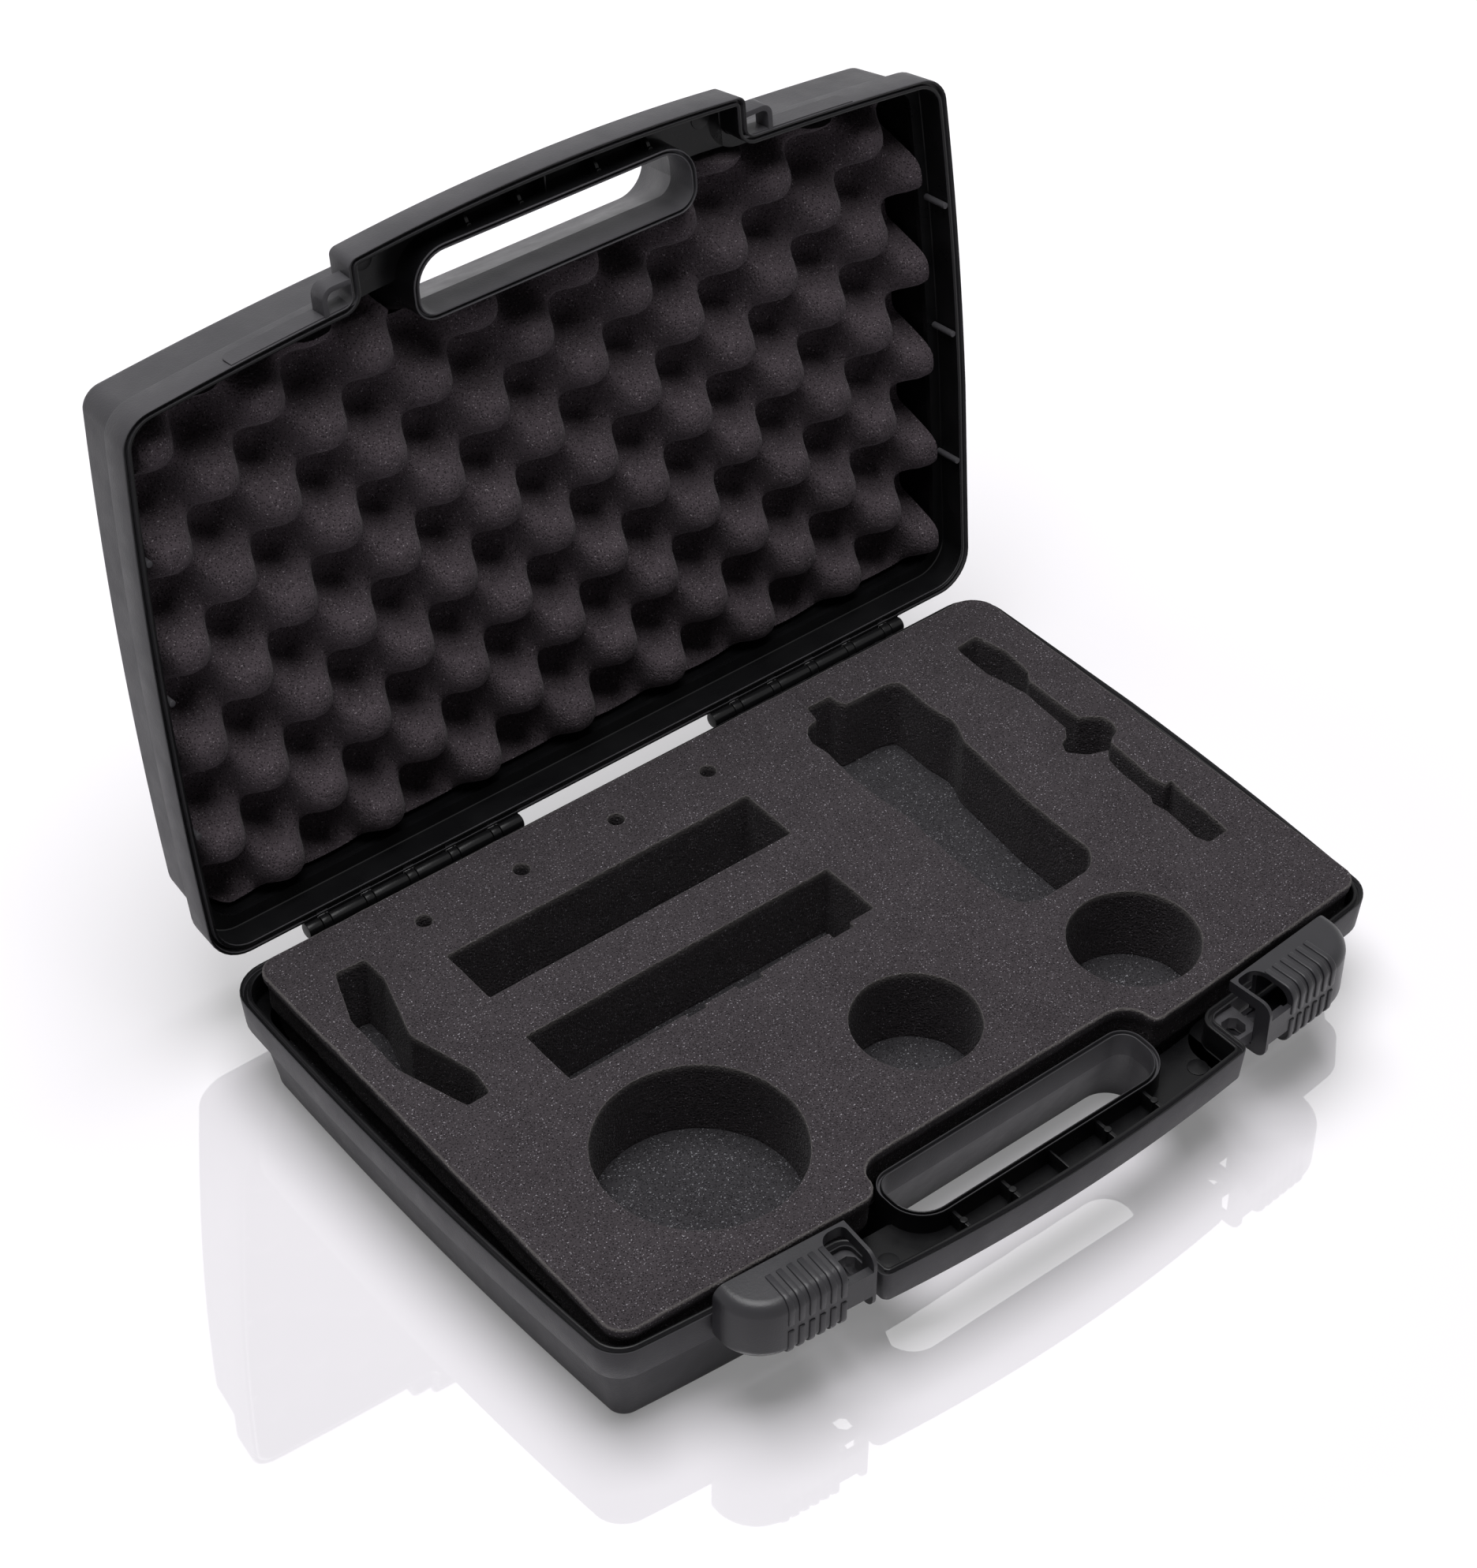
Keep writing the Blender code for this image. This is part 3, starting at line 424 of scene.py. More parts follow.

# %% [markdown]
# ## Foam
# The inserts are open-cell foam: thousands of tiny pores, dark inside, whose cut rims catch the light as
# sparkles. Modelling pores would take millions of faces, so a fine cell texture gives them: it darkens the
# colour between the cells as painted shade inside the pores, paints highlights on a few rims, and drives the
# bump. A little sheen stands for its fuzzy skin, and an attribute marks the cut upper edges, which get a
# lighter colour as a painted sheen of their standing fibres.

# %% The foam material
def open_cell_foam(name, dark, middle, light, cell_scale):
    material, nodes, links, shader, place = new_material(name)
    cells = nodes.new("ShaderNodeTexVoronoi")
    cells.feature = "F1"
    cells.inputs["Scale"].default_value = cell_scale
    cells.inputs["Randomness"].default_value = 1
    links.new(place, cells.inputs["Vector"])
    # Painted shade: the dark colour between the cells stands for the shade inside the pores.
    stops = [(0.1, dark), (0.45, middle), (0.85, middle)]
    pore_shade = add_ramp(nodes, links, cells.outputs["Distance"], stops)
    # Painted highlights: a noise mask puts the light colour on a few cell rims as sparkles.
    glint_noise = add_noise(nodes, links, place, cell_scale * 1.3, 1, 0.4)
    painted_glint_mask = add_ramp(nodes, links, glint_noise, [(0.66, 0.0), (0.76, 1.0)])
    mix = nodes.new("ShaderNodeMix")
    mix.data_type = "RGBA"
    links.new(painted_glint_mask, mix.inputs["Factor"])
    links.new(pore_shade, mix.inputs["A"])
    mix.inputs["B"].default_value = (*light, 1)
    cloud = add_noise(nodes, links, place, 60, 4, 0.6)
    shade = nodes.new("ShaderNodeMix")
    shade.data_type = "RGBA"
    shade.blend_type = "MULTIPLY"
    shade.inputs["Factor"].default_value = 1
    links.new(mix.outputs["Result"], shade.inputs["A"])
    links.new(add_ramp(nodes, links, cloud, [(0.3, 0.82), (0.7, 1.0)]), shade.inputs["B"])
    # Painted sheen: the cut upper edges, marked by an attribute, get a lighter colour.
    painted_edge_sheen = nodes.new("ShaderNodeAttribute")
    painted_edge_sheen.attribute_name = "painted_edge_sheen"
    edge = nodes.new("ShaderNodeMix")
    edge.data_type = "RGBA"
    links.new(painted_edge_sheen.outputs["Fac"], edge.inputs["Factor"])
    links.new(shade.outputs["Result"], edge.inputs["A"])
    edge.inputs["B"].default_value = (0.15, 0.14, 0.135, 1)
    links.new(edge.outputs["Result"], shader.inputs["Base Color"])
    coarse = add_noise(nodes, links, place, cell_scale * 0.45, 3, 0.6)
    normal = add_bump(nodes, links, coarse, 0.5, 0.0006)
    links.new(add_bump(nodes, links, cells.outputs["Distance"], 0.7, 0.0004, normal), shader.inputs["Normal"])
    shader.inputs["Roughness"].default_value = 0.9
    shader.inputs["Specular IOR Level"].default_value = 0.02
    shader.inputs["Sheen Weight"].default_value = 0.06
    shader.inputs["Sheen Roughness"].default_value = 0.5
    return material


# The last colour of each foam is the colour of its painted rim highlights.
insert_foam = open_cell_foam(
    "insert_foam", (0.008, 0.007, 0.008), (0.056, 0.049, 0.054), (0.34, 0.32, 0.35), 1300)
pad_foam = open_cell_foam(
    "pad_foam", (0.008, 0.008, 0.009), (0.044, 0.042, 0.046), (0.28, 0.28, 0.30), 1300)
egg_foam = open_cell_foam(
    "egg_crate_foam", (0.012, 0.010, 0.011), (0.080, 0.066, 0.075), (0.28, 0.25, 0.27), 1200)
print("foams", insert_foam.name, pad_foam.name, egg_foam.name)

# %% [markdown]
# ## The shells
# Both shells are the same kind of moulding: a band with a grooved rim runs round the case and
# the handle, a step under it leads to the lower wall, and that wall leans in to a rounded
# bottom edge. The rim is one closed profile carried round the joined outline of case and
# handle, so that its ridges and groove follow the inner corners beside the handle without a
# seam. One function draws it for both shells; `up` is -1 below the rim and 1 above it.

# %% The rim with its ridges, groove and ledge
RIM_PROFILE = (
    (8.2, BAND), (1.6, BAND), (1.2, 12.98), (1.03, 12.6), (0.03, 0.5), (0.1, 0.18), (0.32, 0.0),
    (0.72, 0.0), (0.92, 0.1), (1.0, 0.35), (1.02, 1.45), (1.15, 1.6), (2.05, 1.6), (2.16, 1.45),
    (2.2, 0.45), (2.3, 0.2), (2.55, 0.1), (3.05, 0.1), (3.3, 0.22), (3.4, 0.55), (3.4, 10.6),
    (3.7, 10.9), (8.2, 10.9))


def make_rim(name, rim, up, body, slot_name, handle_y, matrix=None):
    """The profile is given as (inset, depth below the rim) and carried round the outline."""
    bm = bmesh.new()
    sweep(bm, [union_ring(inset, rim + up * depth, handle_y) for inset, depth in RIM_PROFILE])
    piece = finish(raw_object(name, bm, matrix), body, grained, slot_name)
    return gloss_and_shade_inside(piece, (0, 0), rim, 1, matrix)


# %% The lower wall and floor of a shell
def make_tray(name, rim, up, depth, taper, body, matrix=None):
    """A leaning wall with a round bottom edge, its floor, and a hole for the finger slot."""
    outer = [(4.3, 12.0), (4.35, 13.0), (taper - 0.1, depth - 4)]
    arc = [(taper + 3 * (1 - math.cos(a)), depth - 3 * (1 - math.sin(a)))
           for a in [math.pi / 2 * i / 6 for i in range(7)]]
    inner = [
        (taper + 3, depth - WALL), (taper + 2.5, depth - WALL - 0.6), (taper + 2.2, depth - 5), (6.6, 12.0)]
    rings = [case_ring(inset, rim + up * d) for inset, d in reversed(outer + arc)]
    rings += [case_ring(inset, rim + up * d) for inset, d in reversed(inner)]
    bm = bmesh.new()
    sweep(bm, rings, caps=True)
    tray = raw_object(name, bm)
    bm = bmesh.new()
    grow = WALL - 0.2
    profile = [(grow, depth + 5), (grow, SLOT_STRAIGHT), (grow, -5)]
    sweep(bm, slot_rings(profile, rim, up, depth), caps=True)
    carve(tray, raw_object("slot_cutter", bm))
    if matrix:
        move_mesh(tray, matrix)
    return gloss_and_shade_inside(finish(tray, body, grained), (0, 0), rim, 1, matrix)


# %% The tube of the finger slot
def make_tube(name, rim, up, depth, taper, lip, body, matrix=None):
    """A wall round the slot with a grooved lip, trimmed to the shell that it stands in."""
    bm = bmesh.new()
    profile = [(WALL, depth + 4), (WALL, SLOT_STRAIGHT)]
    profile += [(grow, lip + d) for grow, d in (
        (WALL, 0.5), (2.15, 0.2), (2.0, 0.05), (1.8, 0.05), (1.68, 0.2), (1.62, 0.6), (1.55, 1.5),
        (0.85, 1.5), (0.78, 1.0), (0.72, 0.5), (0.6, 0.2), (0.35, 0.1), (0.1, 0.25), (0.0, 0.6))]
    profile += [
        (-0.05, SLOT_STRAIGHT - 0.4), (0.0, SLOT_STRAIGHT), (0.15, SLOT_STRAIGHT + 0.15),
        (0.15, depth + 4)]
    sweep(bm, slot_rings(profile, rim, up, depth))
    tube = raw_object(name, bm)
    bm = bmesh.new()
    low = rim + up * depth
    sections = (
        (taper + 3, low), (taper + 0.9, low - up * 0.9), (taper, low - up * 3), (4.5, rim + up * 13),
        (4.5, rim - up * 3))
    sweep(bm, [case_ring(inset, z) for inset, z in sections], caps=True)
    body_shape = raw_object("tube_limit", bm)
    bm = bmesh.new()
    deep = rim + up * (BAND - 0.1)
    box(bm, (-70, -125, min(deep, rim - up * 2.9)), (70, -80, max(deep, rim - up * 2.9)))
    carve(body_shape, raw_object("handle_limit", bm), "UNION")
    carve(tube, body_shape, "INTERSECT")
    if matrix:
        move_mesh(tube, matrix)
    return gloss_and_shade_inside(finish(tube, body, grained), SLOT_CENTRE, rim, -1, matrix)


print("shell functions ready")

# %% [markdown]
# ## Inside the handle
# A plate closes each handle half. Cross ribs stiffen it between the slot and its bowed front,
# four of them with a small round boss, and round ejector marks show at both ends. Beside the
# handle stand two bent loops, which the latches slide over. They are small blocks, posts and
# swept walls, joined in one mesh because they are one moulding.

# %% Plate, ribs, bosses and ejector marks of the handle
def make_handle_inside(name, rim, up, handle_y, body, matrix=None):
    bm = bmesh.new()
    top, low = rim + up * (BAND - WALL), rim + up * BAND
    half, back, wall = (HANDLE_X - 3) / FRONT_NARROW, -103.4, 3 - handle_y
    edge = [bow(-half, back), bow(-half, wall)]
    front = [bow(-half + i * half / 10, wall) for i in range(1, 20)]
    tube = [(p.x, p.y) for p in slot_ring(1.2, 0) if p.y < back]
    outer = edge + front + [(-x, y) for x, y in reversed(edge)]
    outer += [(tube[-1][0], back)] + list(reversed(tube)) + [(tube[0][0], back)]
    plate(bm, outer, min(top, low), max(top, low))
    crest, boss = rim + up * 4.8, rim + up * 4.4
    for x in (0,) if up > 0 else (-41.4, -20.7, 0, 20.7, 41.4):
        y = -handle_y + HANDLE_BOW * (x / HANDLE_X) ** 2 + 1.2
        half = 0.65 if x else 0.35
        box(bm, (x - half, y, min(crest, top)), (x + half, -114.2, max(crest, top)), 0.15)
        if x:
            post(bm, (x, -120.1), 1.35, min(boss, top), max(boss, top), 0.25)
    for x in (-31.0, -10.3, 20.7, 41.8) if up > 0 else ():
        fin = outline(((-114.4, top), (-114.4, crest), (-118.6, crest), (-118.6, top)), (0, 0, 3.6, 0), 10)
        made = plate(bm, fin, -0.6, 0.6)
        across = Matrix(((0, 0, 1, x), (1, 0, 0, 0), (0, 1, 0, 0), (0, 0, 0, 1)))
        bmesh.ops.transform(bm, matrix=across, verts=made)
        post(bm, (x, -115.0), 0.95, boss - 0.5, boss + 4, 0.2, 16)
    for side in (-1, 1):
        mark = top - up * 0.25
        post(bm, (side * 67.5, -114.5), 3.6, min(top, mark), max(top, mark), 0.1, 32)
    # The plate, ribs and bosses of the handle's bay get the smooth plastic, whose darker colour is painted
    # shade.
    return finish(raw_object(name, bm, matrix), body, smooth_shaded_plastic)


# %% The loops beside the handle
def make_loops(name, rim, up, body, matrix=None):
    """The lid has a bent strip on each side, the base a low frame with an eight-sided hole."""
    bm = bmesh.new()
    for side in (-1, 1):
        if up > 0:
            corners = (
                (78.4, -116.4), (89.8, -116.4), (89.8, -106.3), (87.8, -106.3), (87.8, -114.4),
                (78.4, -114.4))
            points, holes = outline(corners, (0, 4.2, 0, 0, 2.4, 0), 8), []
            near, far = rim + 0.1, rim + 7.1
        else:
            corners = ((89.8, -106.9), (78.5, -106.9), (78.5, -119.6), (89.8, -119.6))
            hole = ((87.0, -110.2), (79.6, -110.2), (79.6, -118.0), (87.0, -118.0))
            points, holes = outline(corners, (0, 4.3, 0, 3), 8), [outline(hole, (2.0,) * 4, 1)]
            near, far = rim - 2.0, rim - 7.1
        made = plate(bm, [(side * x, y) for x, y in points], min(near, far), max(near, far),
                     [[(side * x, y) for x, y in hole] for hole in holes])
        level = [e for e in edges_of(made) if abs(e.verts[0].co.z - e.verts[1].co.z) < 0.01]
        bevel_edges(bm, [e for e in level if e.calc_face_angle(0) > 1], 0.25, 2)
    return finish(raw_object(name, bm, matrix), body, grained)


print("handle functions ready")

# %% [markdown]
# ## The base
# The base stands on its rounded bottom edge, so its lowest ring lies exactly on the floor.

# %% Make the base
make_rim("base_rim", RIM, -1, "base", "base_shell", HANDLE_Y)
make_tray("base_tray", RIM, -1, RIM, BASE_TAPER, "base")
make_tube("base_slot_tube", RIM, -1, RIM, BASE_TAPER, BASE_SLOT_LIP, "base")
make_handle_inside("base_handle_inside", RIM, -1, HANDLE_Y, "base")
make_loops("base_loops", RIM, -1, "base")

# %% [markdown]
# ## The lid
# The lid is drawn shut, upwards from a plane a hair above the base's rim, and then turned open.

# %% Make the lid
LID_RIM = RIM + CLOSED_GAP
make_rim("lid_rim", LID_RIM, 1, "lid", "lid_shell", LID_HANDLE_Y, shut_to_open)
make_tray("lid_tray", LID_RIM, 1, LID_DEEP, LID_TAPER, "lid", shut_to_open)
make_tube("lid_slot_tube", LID_RIM, 1, LID_DEEP, LID_TAPER, 0.0, "lid", shut_to_open)
make_handle_inside("lid_handle_inside", LID_RIM, 1, LID_HANDLE_Y, "lid", shut_to_open)
make_loops("lid_loops", LID_RIM, 1, "lid", shut_to_open)

# %% Pins inside the lid's band and raised strips outside it
bm = bmesh.new()
for side in (-1, 1):
    for y in (-49.6, 2.6, 56.0):
        post(bm, (bow(side * 165.2, y)[0], y), 1.15, LID_RIM + 0.4, LID_RIM + 12.5, 0.2, 20)
    strip = outline(((128, 0.4), (128, 7.6), (79.5, 7.6), (79.5, 0.4)), (0, 3, 0, 0), 6, (1, 12, 1, 12))
    for vert in plate(bm, strip, -0.45, 0.5):
        x, z, y = vert.co
        vert.co = (*bow(side * x, y - HALF_Y), LID_RIM + z)
finish(raw_object("lid_pins_and_strips", bm, shut_to_open), "lid", grained)

# %% [markdown]
# ## The hinge
# Behind each shell stands a row of short barrels on small webs: five narrow rings on the base,
# and longer barrels of the lid between and beside them, all on one steel pin. Each barrel is a
# bevelled cylinder, and each web a block whose lower edge is drawn in to the wall.

# %% Barrels, webs and pins
def barrel(bm, start, end, radius, edge=0.25, steps=32):
    """A round bar along X with bevelled ends."""
    made = bmesh.ops.create_cone(
        bm, cap_ends=True, segments=steps, radius1=radius, radius2=radius, depth=end - start)["verts"]
    turn = Matrix.Rotation(math.pi / 2, 3, "Y")
    bmesh.ops.rotate(bm, verts=made, matrix=turn)
    bmesh.ops.translate(bm, vec=((start + end) / 2, HINGE[0], HINGE[1]), verts=made)
    bevel_edges(bm, [e for e in edges_of(made) if e.calc_face_angle(0) > 1], edge)


def make_hinge(name, spans, rim, up, body, matrix=None):
    bm = bmesh.new()
    for side in (-1, 1):
        for start, end in spans:
            low, high = sorted((side * start, side * end))
            barrel(bm, low, high, 2.8)
            near, far = rim + up * 0.3, HINGE[1] + up * 6
            web = box(bm, (low + 0.2, 107.7, min(near, far)), (high - 0.2, 113.9, max(near, far)))
            for vert in web:
                if vert.co.y > 110 and abs(vert.co.z - far) < 0.01:
                    vert.co.y = 108.4
    # The hinge gets the smooth plastic, whose darker colour is painted shade.
    return finish(raw_object(name, bm, matrix), body, smooth_shaded_plastic)


rings = [(54.2 + 17.8 * i - 1.7, 54.2 + 17.8 * i + 1.7) for i in range(5)]
barrels = [(43.0, 52.2)] + [(a + 0.3, b - 0.3) for (_, a), (b, _) in zip(rings, rings[1:])] + [(127.4, 133.0)]
make_hinge("base_hinge_rings", rings, RIM, -1, "base")
make_hinge("lid_hinge_barrels", barrels, LID_RIM, 1, "lid", shut_to_open)

steel, nodes, links, shader, place = new_material("pin_steel")
shader.inputs["Metallic"].default_value = 1
shader.inputs["Base Color"].default_value = (0.45, 0.45, 0.46, 1)
drawn = add_noise(nodes, links, place, 300, 3)
links.new(add_ramp(nodes, links, drawn, [(0.3, 0.25), (0.7, 0.42)]), shader.inputs["Roughness"])
for side, word in ((-1, "left"), (1, "right")):
    bm = bmesh.new()
    low, high = sorted((side * 43.6, side * 132.4))
    barrel(bm, low, high, 1.2, 0.2, 24)
    pin = raw_object(word + "_pin", bm)
    finish(pin, "base", steel, word + "_hinge_pin")

# %% [markdown]
# ## The foam insert
# The insert is a thick slab, die-cut with the outlines of the tools. Each outline is a face on
# a few corners whose corners are rounded, as for the shells. All outlines are drawn together and
# the flat face between them is filled, which gives a slab with holes whose walls are then
# extruded down. Foam never cuts quite straight, so the walls wander by a few tenths of a
# millimetre, and the upper edges are drawn in a little. The outer wall slopes in further down,
# which leaves room for the case's leaning walls and for the tube of the finger slot.

# %% Outlines of the pockets
def rounded(corners, radius=1.5, steps=3):
    """A pocket outline with small round corners, cut into short steps."""
    points = outline(corners, [radius] * len(corners), steps)
    return refine(points, 2.4)


def refine(points, step):
    """Split long sides, so that the outline can wander a little."""
    fine = []
    for (x0, y0), (x1, y1) in zip(points, points[1:] + points[:1]):
        count = max(1, round(math.hypot(x1 - x0, y1 - y0) / step))
        fine += [(x0 + (x1 - x0) * i / count, y0 + (y1 - y0) * i / count) for i in range(count)]
    return fine


def disc(x, y, radius, steps=72):
    bm = bmesh.new()
    verts = bmesh.ops.create_circle(bm, cap_ends=False, segments=steps, radius=radius)["verts"]
    points = [(v.co.x + x, v.co.y + y) for v in verts]
    bm.free()
    return points


left_pocket = [
    (-139.1, 85.9), (-147.6, 64.3), (-148.3, 36.8), (-139.7, 9.4), (-130.6, 9.7), (-129.3, 20.8),
    (-136.1, 46.6), (-127.8, 73.6), (-127.8, 85.1)]
tool_pocket = [
    (71, 92.6), (69.7, 85.2), (65.1, 84.5), (61.9, 81.5), (60.1, 76.3), (61, 68.5), (59.4, 53.6),
    (60, 37.2), (61.1, 25.7), (59.8, 3.5), (59.1, -13.7), (60.5, -26.4), (63.7, -31.9), (69.4, -34.5),
    (91, -33.5), (94.4, -32.2), (97.6, -29.1), (99.8, -25.7), (99.7, -13.7), (100, 7), (102.7, 33.8),
    (103.8, 43.9), (106.9, 50.8), (107.9, 55), (106.5, 65), (106.9, 81.6), (105.4, 83.4), (101.1, 85.1),
    (83.1, 85.2), (81.8, 88), (81.8, 92.5)]
outer_pocket = [
    (136.2, 84.3), (135.6, 80.7), (134.9, 66.8), (137.2, 56.5), (138.7, 49.6), (137.9, 40.1),
    (136.9, 26.5), (133.8, 22.3), (130.1, 20.8), (128.2, 16.3), (133.5, 10.4), (141, 7.8), (137.3, 4.2),
    (135.9, -3.4), (135.2, -19.9), (133.3, -22.6), (134.6, -28.9), (133, -44.3), (134.9, -49.4),
    (144.1, -49), (145.4, -37.5), (145.6, -25.5), (147, -18), (143.7, -18.6), (142.7, -12.5),
    (144.4, 10.5), (146.1, 11.9), (150.7, 13.8), (152.3, 18.1), (151.7, 22.4), (148.4, 25.1),
    (144.7, 27.4), (144.3, 34.5), (144.7, 54), (147.9, 58.3), (149.1, 71.8), (146.2, 85.1)]
back_slot = [(-105.4, 44.5), (24, 44.5), (24, 69.5), (-105.4, 69.5)]
middle_slot = [
    (-107, -2), (-59.8, -2), (-59.8, -3.6), (-51.9, -3.6), (-51.9, -2), (-38.5, -2), (-38.5, -4),
    (-28.1, -4), (-28.1, -2), (2, -2), (2, -4.6), (11, -4.6), (11, -2), (22, -2), (22, 22.8), (-107, 22.8)]
pockets = [rounded(left_pocket, 1.2), rounded(tool_pocket, 0.8, 2), rounded(outer_pocket, 0.7, 2)]
pockets += [rounded(back_slot, 0.8), rounded(middle_slot, 0.3, 1)]
pockets += [disc(-92.3, -50.6, 35.4, 110), disc(-2.2, -51.5, 22.3, 80), disc(81.1, -67.9, 23.1, 80)]
pockets += [disc(-101.5 + 40.97 * i, 88, 3.0, 24) for i in range(4)]
print("pockets", len(pockets), "points", sum(len(p) for p in pockets))


# %% Outer edge of the insert, with the bay for the slot tube
def insert_edge():
    """Cut by hand, so its sides are nearly straight and not quite parallel to the case."""
    tube, back = SLOT[0] + 4.0, SLOT[2] + 4.0
    corners = (
        (164.0, 104.6), (-158.8, 105.6), (-160.8, -96.6), (-tube - 1, -101.6), (-tube, back),
        (tube, back), (tube + 1, -101.4), (162.4, -95.0))
    return outline(corners, (11, 8, 8, 7, 9, 9, 4, 7), 8, (60, 40, 30, 3, 30, 3, 30, 40))


def wander(x, y, z, amount, scale=0.12):
    """A small smooth shift that differs from place to place."""
    return noise.noise(Vector((x * scale, y * scale, z * scale + 7))) * amount


def foam_wall(bm, points, levels, outwards, amount):
    """Extrude an outline through (height, inset) levels; insets follow the outline's normal."""
    count = len(points)
    known = set(bm.verts)
    rings = []
    for z, inset in levels:
        ring = []
        for i, (x, y) in enumerate(points):
            ax, ay = points[i - 1]
            bx, by = points[(i + 1) % count]
            tx, ty = bx - ax, by - ay
            size = math.hypot(tx, ty) or 1
            nx, ny = ty / size * outwards, -tx / size * outwards
            push = inset + wander(x, y, z, amount) + wander(x, y, z, amount * 0.6, 0.5)
            ring.append(Vector((x - nx * push, y - ny * push, z)))
        rings.append(ring)
    ends = draw_rings(bm, rings)
    # Vertices just below the top edge get the mask of the painted edge sheen.
    painted_edge_sheen = bm.verts.layers.float.get("painted_edge_sheen") or bm.verts.layers.float.new("painted_edge_sheen")
    for vert in bm.verts:
        if vert not in known and 0.05 < levels[0][0] - vert.co.z < 0.7:
            vert[painted_edge_sheen] = 0.55
    return ends


def is_left_turning(points):
    area = sum(x0 * y1 - x1 * y0 for (x0, y0), (x1, y1) in zip(points, points[1:] + points[:1]))
    return area > 0


# %% Make the insert
bm = bmesh.new()
FOAM_TOP, FOAM_LOW = 47.2, 17.25
levels = [
    (FOAM_TOP, 0.9), (FOAM_TOP - 0.12, 0.45), (FOAM_TOP - 0.5, 0.1), (FOAM_TOP - 1.2, 0), (44.5, 0.1),
    (42.8, 0.6), (41, 1.3), (38, 1.5), (33, 1.6), (31.6, 1.9), (31.0, 3.2), (24, 4.2), (FOAM_LOW, 5.5)]
hole_levels = [(FOAM_TOP, -0.35), (FOAM_TOP - 0.15, -0.12), (FOAM_TOP - 0.6, 0)]
hole_levels += [(z, 0) for z in (44, 40, 36, 32, 28, 24, 20, FOAM_LOW)]
edge = insert_edge()
tops, lows = foam_wall(bm, edge, levels, 1 if is_left_turning(edge) else -1, 0.25)
for points in pockets:
    top, low = foam_wall(bm, points, hole_levels, 1 if is_left_turning(points) else -1, 0.22)
    tops += top
    lows += low
bmesh.ops.triangle_fill(bm, use_beauty=True, use_dissolve=False, edges=tops)
bmesh.ops.triangle_fill(bm, use_beauty=True, use_dissolve=False, edges=lows)
insert = raw_object("tool_insert", bm)
finish(insert, "base", insert_foam, "foam_insert", sharp=50)

# %% Make the layer below it
bm = bmesh.new()
pad_levels = ((12.3, 2.55), (12.3, 3.5), (12.3, 15.8), (12.5, 16.6), (13.2, 16.9))
sweep(bm, [case_ring(inset, z) for inset, z in pad_levels], caps=True)
pad = raw_object("floor_pad", bm)
bm = bmesh.new()
sweep(bm, slot_rings([(4.0, RIM), (4.0, 22)], RIM, -1, RIM), caps=True)
carve(pad, raw_object("pad_cutter", bm))
finish(pad, "base", pad_foam, "foam_base_pad", sharp=50)

# %% [markdown]
# ## The lid's convoluted foam
# Convoluted foam is cut between shaped rollers, which leaves round bumps and pits in a
# chequered pattern. Its surface is a fine grid whose height is a product of two waves. A sine
# of that product gives broad bumps with steep sides, which hide part of the pits behind them
# as in the photograph. The grid is extruded back into a slab, which is then trimmed to the
# inside of the lid.

# %% Make the lid foam
EGG_HALF = (20.6, 19.0)
EGG_PEAK = (137.2, 33.3)
EGG_TOP, EGG_RISE, EGG_BACK = 6.0, 10.5, 37.0
EGG_STEP = 1.6


def egg_height(x, y):
    """Depth of the foam's surface below the lid's rim."""
    wave_x = math.cos(math.pi * (x - EGG_PEAK[0]) / EGG_HALF[0])
    wave_y = math.cos(math.pi * (y - EGG_PEAK[1]) / EGG_HALF[1])
    broad = math.sin(0.5 * math.pi * wave_x * wave_y)
    return EGG_TOP + EGG_RISE * (1 - broad) + wander(x, y, 0, 0.5, 0.05)


bm = bmesh.new()
columns, rows = round(330 / EGG_STEP), round(212 / EGG_STEP)
bmesh.ops.create_grid(bm, x_segments=columns, y_segments=rows, size=0.5)
for vert in bm.verts:
    x, y = vert.co.x * columns * EGG_STEP, vert.co.y * rows * EGG_STEP
    vert.co = (x, y, LID_RIM + egg_height(x, y))
made = bmesh.ops.extrude_face_region(bm, geom=bm.faces[:])["geom"]
for item in made:
    if isinstance(item, bmesh.types.BMVert):
        item.co.z = LID_RIM + EGG_BACK
egg = raw_object("lid_foam_bumps", bm)
bm = bmesh.new()
back = LID_RIM + LID_DEEP - WALL - 0.3
sweep(bm, [case_ring(9.8, RIM), case_ring(9.8, back - 13.5), case_ring(12.6, back)], caps=True)
trim = raw_object("lid_foam_trim", bm)
bm = bmesh.new()
profile = [(4.0, LID_DEEP + 3), (4.0, SLOT_STRAIGHT), (4.0, -5)]
sweep(bm, slot_rings(profile, LID_RIM, 1, LID_DEEP), caps=True)
carve(trim, raw_object("lid_foam_notch", bm))
carve(egg, trim, "INTERSECT")
move_mesh(egg, shut_to_open)
finish(egg, "lid", egg_foam, "lid_foam", sharp=50)

# %% [markdown]
# ## The latches
# Each latch is a hollow cap that slides along the bowed front. It is drawn along its own axis:
# u runs outwards from its flange, w out from the wall. A stack of outlines gives the cap its
# domed end and round edges, exact cuts give the hollow, the window and the opening for the
# loop, and six long grips lie over its upper edge, with six more below.

# %% A latch in its own axes
LATCH = {
    "length": 49.0, "deep": 18.0, "half": 12.0, "round": 4.5, "dome": 16.0, "flange": 11.3,
    "mid_x": 105.8, "mid_z": 43.0}


